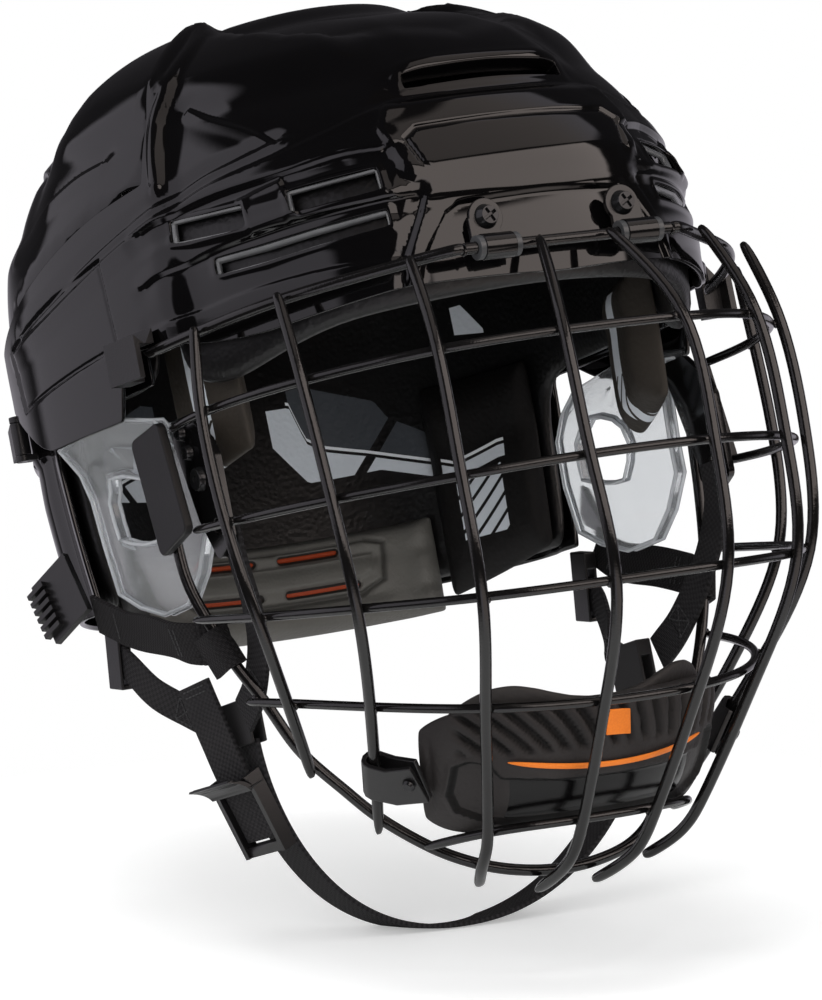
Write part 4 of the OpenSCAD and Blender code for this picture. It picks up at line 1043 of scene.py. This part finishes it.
# Orange piping, a round cord sewn in a fold, and a bare orange tag sewn beside it. The tag is laid
# on the cup by rays from the front.
orange = Finish("trim_orange")
threads = orange.noise(1800.0, 2.0)
orange.surface(Base_Color=orange.blend(threads, (0.64, 0.135, 0.006, 1), (0.82, 0.215, 0.014, 1)),
               Roughness=0.5 + 0.15 * threads, Normal=orange.bump(threads, 0.00012, 0.5))
piping = smoothed(merged("chin_cup_trim"), "chin_cup_piping", 2)
fitted(piping, "cage", ["chin_cup_trim"], orange)
cup_tree = tree_of(cup)
shape = bmesh.new()
bmesh.ops.create_grid(shape, x_segments=8, y_segments=7, size=1)
for vert in shape.verts:
    x = -1.0 + vert.co.x * 4.4 + vert.co.y * 0.3
    z = -152.6 + vert.co.y * 3.9 - vert.co.x * 0.3
    vert.co = cup_tree.ray_cast(Vector((x, -170, z)) / 1000, Vector((0, 1, 0)))[0]
# The tag bridges the ribs: one smooth bend laid against the highest of them
spots = np.array([vert.co for vert in shape.verts])
bends = np.stack([np.ones(len(spots)), spots[:, 0] * 40, spots[:, 2], (spots[:, 0] * 40) ** 2], 1)
smooth_y = bends @ np.linalg.lstsq(bends, spots[:, 1], rcond=None)[0]
smooth_y += (spots[:, 1] - smooth_y).min() - 0.0003
for vert, y in zip(shape.verts, smooth_y):
    vert.co.y = y
tag = thickened(stored(shape, "chin_cup_tag"), 0.0009, 0.0003)
fitted(tag, "cage", [], orange)

# Clips of nylon that hold the cup to the cage
for side in ("right", "left"):
    hard("cup_clip_" + side, "cage", nylon, 0.0004, 2)


# Straps. Flat webbing is a strip that follows its route, with a thickness and softened edges. Its
# weave follows the strip: u runs along it and v across it, in metres. All else is in millimetres.
def spaced(line, pitch):
    reach = np.concatenate([[0], np.cumsum(np.linalg.norm(np.diff(line, axis=0), axis=1))])
    count = max(2, int(round(reach[-1] / pitch)) + 1)
    at = np.linspace(0, reach[-1], count)
    return np.stack([np.interp(at, reach, line[:, k]) for k in range(3)], 1)


# Directions across and out of a strip at each of its points
def facing(line, up):
    way = np.gradient(line, axis=0)
    way /= np.linalg.norm(way, axis=1)[:, None]
    up = np.array(up, float)
    across = up - (way @ up)[:, None] * way
    across /= np.linalg.norm(across, axis=1)[:, None]
    return across, np.cross(across, way)


STRAP_THICK = 1.6


def strap(name, line, up, width, pitch=1.6, segments=6, lift=None):
    line = spaced(np.array(line, float), pitch)
    across, out = facing(line, up)
    last = len(line) - 1
    shape = bmesh.new()
    bmesh.ops.create_grid(shape, x_segments=segments, y_segments=last, size=1)
    weave = shape.loops.layers.uv.new("weave")
    rows = {vert: (int(round((vert.co.y + 1) / 2 * last)), vert.co.x) for vert in shape.verts}
    for face in shape.faces:
        for loop in face.loops:
            row, side = rows[loop.vert]
            loop[weave].uv = (row * pitch / 1000, side * width / 2000)
    for vert, (row, side) in rows.items():
        height = lift(row / last, side) if lift else 0.0
        vert.co = Vector((line[row] + across[row] * side * width / 2 + out[row] * height) / 1000)
    return thickened(stored(shape, name), STRAP_THICK / 1000, 0.00035)


def woven(name, dark, light, pitch, rough=0.72):
    finish = Finish(name)
    down, over, _ = finish.coordinates(finish.node("ShaderNodeUVMap", {"uv_map": "weave"}))
    warp = (over * (2 * math.pi / pitch)).sine()
    turn = (over / pitch).floor().wrapped(2.0) * math.pi
    weft = (down * (2 * math.pi / (1.6 * pitch)) + turn).sine()
    height = abs(warp) * 0.6 + weft * 0.4
    fuzz = finish.noise(4000.0, 2.0)
    cloud = finish.noise(60.0, 4.0)
    # Painted highlight and shade: the weave's raised threads are lighter and the gaps between them
    # darker
    shade = finish.blend((height * 0.5 + 0.3).least(1.0).most(0.0), dark + (1,), light + (1,))
    shade = finish.blend(cloud * 0.5, shade, dark + (1,))
    finish.surface(Base_Color=shade, Roughness=rough + 0.1 * fuzz, Specular_IOR_Level=0.2,
                   Normal=finish.bump(height, 0.00045, 0.9, finish.bump(fuzz, 0.00015, 0.5)))
    return finish


nylon_web = woven("webbing", (0.002, 0.002, 0.0022), (0.045, 0.042, 0.045), 0.0013)


# Stitches lie on both faces of a strap as short threads. A seam is given by its middle and length
# as shares of the strap's length, and by corners, from -1 to 1 along that length and across.
thread = Finish("thread")
lay = thread.noise(3500.0, 2.0)
thread.surface(Base_Color=thread.blend(lay, (0.010, 0.010, 0.0105, 1), (0.045, 0.045, 0.047, 1)),
               Roughness=0.5 + 0.1 * lay)
THREAD, STITCH = 0.22, 2.2
BOX_SEAM = [(-0.72, -0.72), (0.72, -0.72), (0.72, 0.72), (-0.72, 0.72), (-0.72, -0.72), (0.72, 0.72),
            (0.72, -0.72), (-0.72, 0.72)]
CROSS_SEAM = BOX_SEAM[1:3]


# A short round bar at a place in metres, along a way
def bar(shape, middle, way, length, radius, segments):
    bmesh.ops.create_cone(shape, cap_ends=True, segments=segments, radius1=radius, radius2=radius,
                          depth=length, matrix=Matrix.Translation(middle) @ along(way))


def stitched(name, body, line, up, width, seams):
    line = spaced(np.array(line, float), 0.5)
    across, out = facing(line, up)
    shape = bmesh.new()
    for middle, length, corners in seams:
        for (t0, s0), (t1, s1) in zip(corners, corners[1:]):
            share = np.linspace(0, 1, 30)
            rows = (middle + (t0 + (t1 - t0) * share) * length / 2) * (len(line) - 1)
            rows = np.clip(rows.round(), 0, len(line) - 1).astype(int)
            sides = (s0 + (s1 - s0) * share)[:, None] * width / 2
            for face in (0.87, -0.87):
                seam = spaced(line[rows] + across[rows] * sides + out[rows] * face, STITCH)
                for start, end in zip(seam, seam[1:]):
                    way = Vector(end - start)
                    bar(shape, Vector((start + end) / 2000), way, way.length * 0.8 / 1000,
                        THREAD / 1000, 6)
    fitted(stored(shape, name), body, [], thread)


# A node's strap with its seams
def sewn_strap(node, ending, body, line, up, width, seams, finish=nylon_web, **cut):
    fitted(strap(node + ending, line, up, width, **cut), body, [node], finish)
    stitched(node + "_stitches", body, line, up, width, seams)


def mirrored(points, side):
    points = np.array(points, float)
    return points if side == "right" else points * [-1, 1, 1]


# Elastic side straps hold the cage down. Each folds round the border wire, where it is ribbed and
# sewn, and ends under a grip tab at the back.
strap_up = np.array([-0.31, 0.17, 0.94])
strap_up /= np.linalg.norm(strap_up)
strap_back = np.array([0, 1, 0]) - strap_up[1] * strap_up
strap_back /= np.linalg.norm(strap_back)
strap_out = np.cross(strap_back, strap_up)
wire_at = np.array([-91.3, -30.2, -103])
fold = MAIN_WIRE + STRAP_THICK / 2 + 0.4
bend = [wire_at + fold * (math.sin(t) * strap_out - math.cos(t) * strap_back)
        for t in np.radians(np.arange(-90, 91, 30))]
strap_route = [wire_at + 9 * strap_back - fold * strap_out] + bend + [
    [-95.4, -12, -98], [-95.6, 4, -93], [-95.6, 28, -86.5], [-98, 46.5, -77.5]]
elastic = woven("elastic_strap", (0.0018, 0.0017, 0.0019), (0.03, 0.0275, 0.0292), 0.0011, 0.78)


def ripple(t, side):
    sewn = 1 - abs(np.clip((t - 0.235) / 0.105, -1, 1)) ** 6
    return 0.28 * sewn * math.sin(t * 112 * 2 * math.pi / 2.6)


for side in ("right", "left"):
    line = spaced(route(mirrored(strap_route, side), 12), 0.45)
    sewn_strap("side_strap_" + side, "_elastic", "cage", line, mirrored(strap_up, side), 14,
               [(place, 0.02, CROSS_SEAM) for place in (0.42, 0.445, 0.86)], elastic,
               pitch=0.45, segments=8, lift=ripple)
    hard("grip_tab_" + side, "cage", nylon, 0.0004, 2)


# Chin webbing, of flat woven nylon: two branches a side come down from hooks on the shell to a
# folded and sewn patch, where the loop under the chin hangs in the fold.
FRONT_ROUTE = [[-91, -50, -66], [-90.4, -50, -78], [-87, -46.5, -92], [-83.4, -38.5, -105],
               [-80.8, -25, -117], [-79.4, -11, -124]]
REAR_ROUTE = [[-91.3, 51, -92], [-91.3, 42.5, -97.5], [-88, 34, -108], [-82, 25, -116.5],
              [-79.6, 12, -123.5]]
for side in ("right", "left"):
    for part, points, up, width, seam in (
            ("front_webbing_", FRONT_ROUTE, [0.06, 1, 0.15], 13, (0.76, 0.14, BOX_SEAM)),
            ("rear_webbing_", REAR_ROUTE, [0.02, 0.6, -1], 11, (0.72, 0.19, BOX_SEAM))):
        sewn_strap(part + side, "_woven", "helmet", route(mirrored(points, side)), mirrored(up, side),
                   width, [seam])
hard("webbing_hooks", "helmet", nylon, 0.0005, 2)
cloth_black = satin("patch_cloth", (0.005, 0.0047, 0.005), (0.015, 0.0138, 0.0145), 0.7,
                    grain=2400.0, depth=0.0002)
hard("webbing_patches", "helmet", cloth_black, 0.0005, 2)

# The loop hangs in an arc from patch to patch, with its foot 20 mm behind its ends
loop_turns = np.radians(np.linspace(3, 177, 90))
chin_line = np.array([[-75 * np.sign(math.cos(t)) * abs(math.cos(t)) ** 0.91, 20 * math.sin(t) ** 1.56,
                       -128 - 73 * math.sin(t) ** 1.13] for t in loop_turns])
item = strap("chin_loop_woven", chin_line, [0, 1, 0.12], 18)
fitted(item, "chin_loop", ["chin_loop"], nylon_web)


# Ladder buckle on the right side, moulded in nylon with a lifted lever, and the loose end of the
# webbing that comes up through it and under a keeper. Its own place, in millimetres, is tilted
# and turned with the loop.
def at_buckle(x, y, z):
    t, s = math.radians(-20), math.radians(10)
    x, z = x * math.cos(t) + z * math.sin(t), z * math.cos(t) - x * math.sin(t)
    x, y = x * math.cos(s) - y * math.sin(s), x * math.sin(s) + y * math.cos(s)
    return np.array([-74.4 + x, 4.5 + y, -154.5 + z])


tail_route = [at_buckle(-1.4, 0, -9.2), at_buckle(-1.4, 0, 2), at_buckle(-1.4, 0, 13),
              [-82.3, 5.5, -130], [-84, 7.5, -119], [-86, 8, -109.5]]
sewn_strap("webbing_tail", "_woven", "chin_loop", route(tail_route), [-0.17, 0.98, 0], 17,
           [(0.93, 0.02, CROSS_SEAM), (0.97, 0.02, CROSS_SEAM)])
# The lever of the buckle curls outward to a ribbed lip
shape = merged("ladder_buckle", False)
hinge_at = Vector(at_buckle(0, 0, 0))
sides = [Vector(at_buckle(*axis)) - hinge_at for axis in ((1, 0, 0), (0, 1, 0), (0, 0, 1))]
for height in np.arange(9.4, 16, 0.8):
    bmesh.ops.bisect_plane(shape, geom=shape.verts[:] + shape.edges[:] + shape.faces[:], dist=1e-6,
                           plane_co=(hinge_at + sides[2] * height) / 1000, plane_no=sides[2])
for vert in shape.verts:
    x, y, z = ((vert.co * 1000 - hinge_at).dot(side) for side in sides)
    if z > 9 and x < -3.5:
        vert.co = Vector(at_buckle(x - 0.085 * (z - 9) ** 2, y, z - 0.02 * (z - 9) ** 2)) / 1000
lever = evenly_shaded(stored(eased(shape, 0.0004, 2, 50), "ladder_buckle_moulding"))
fitted(lever, "chin_loop", ["ladder_buckle"], nylon)
shape = bmesh.new()
for x, z in ((-8.6, 13.0), (-9.9, 14.0), (-11.3, 14.9)):
    bar(shape, Vector(at_buckle(x, 0, z)) / 1000, sides[1], 0.0195, 0.00055, 10)
fitted(stored(shape, "buckle_lip_ribs"), "chin_loop", [], nylon)
hard("webbing_keeper", "chin_loop", nylon, 0.0004, 2)
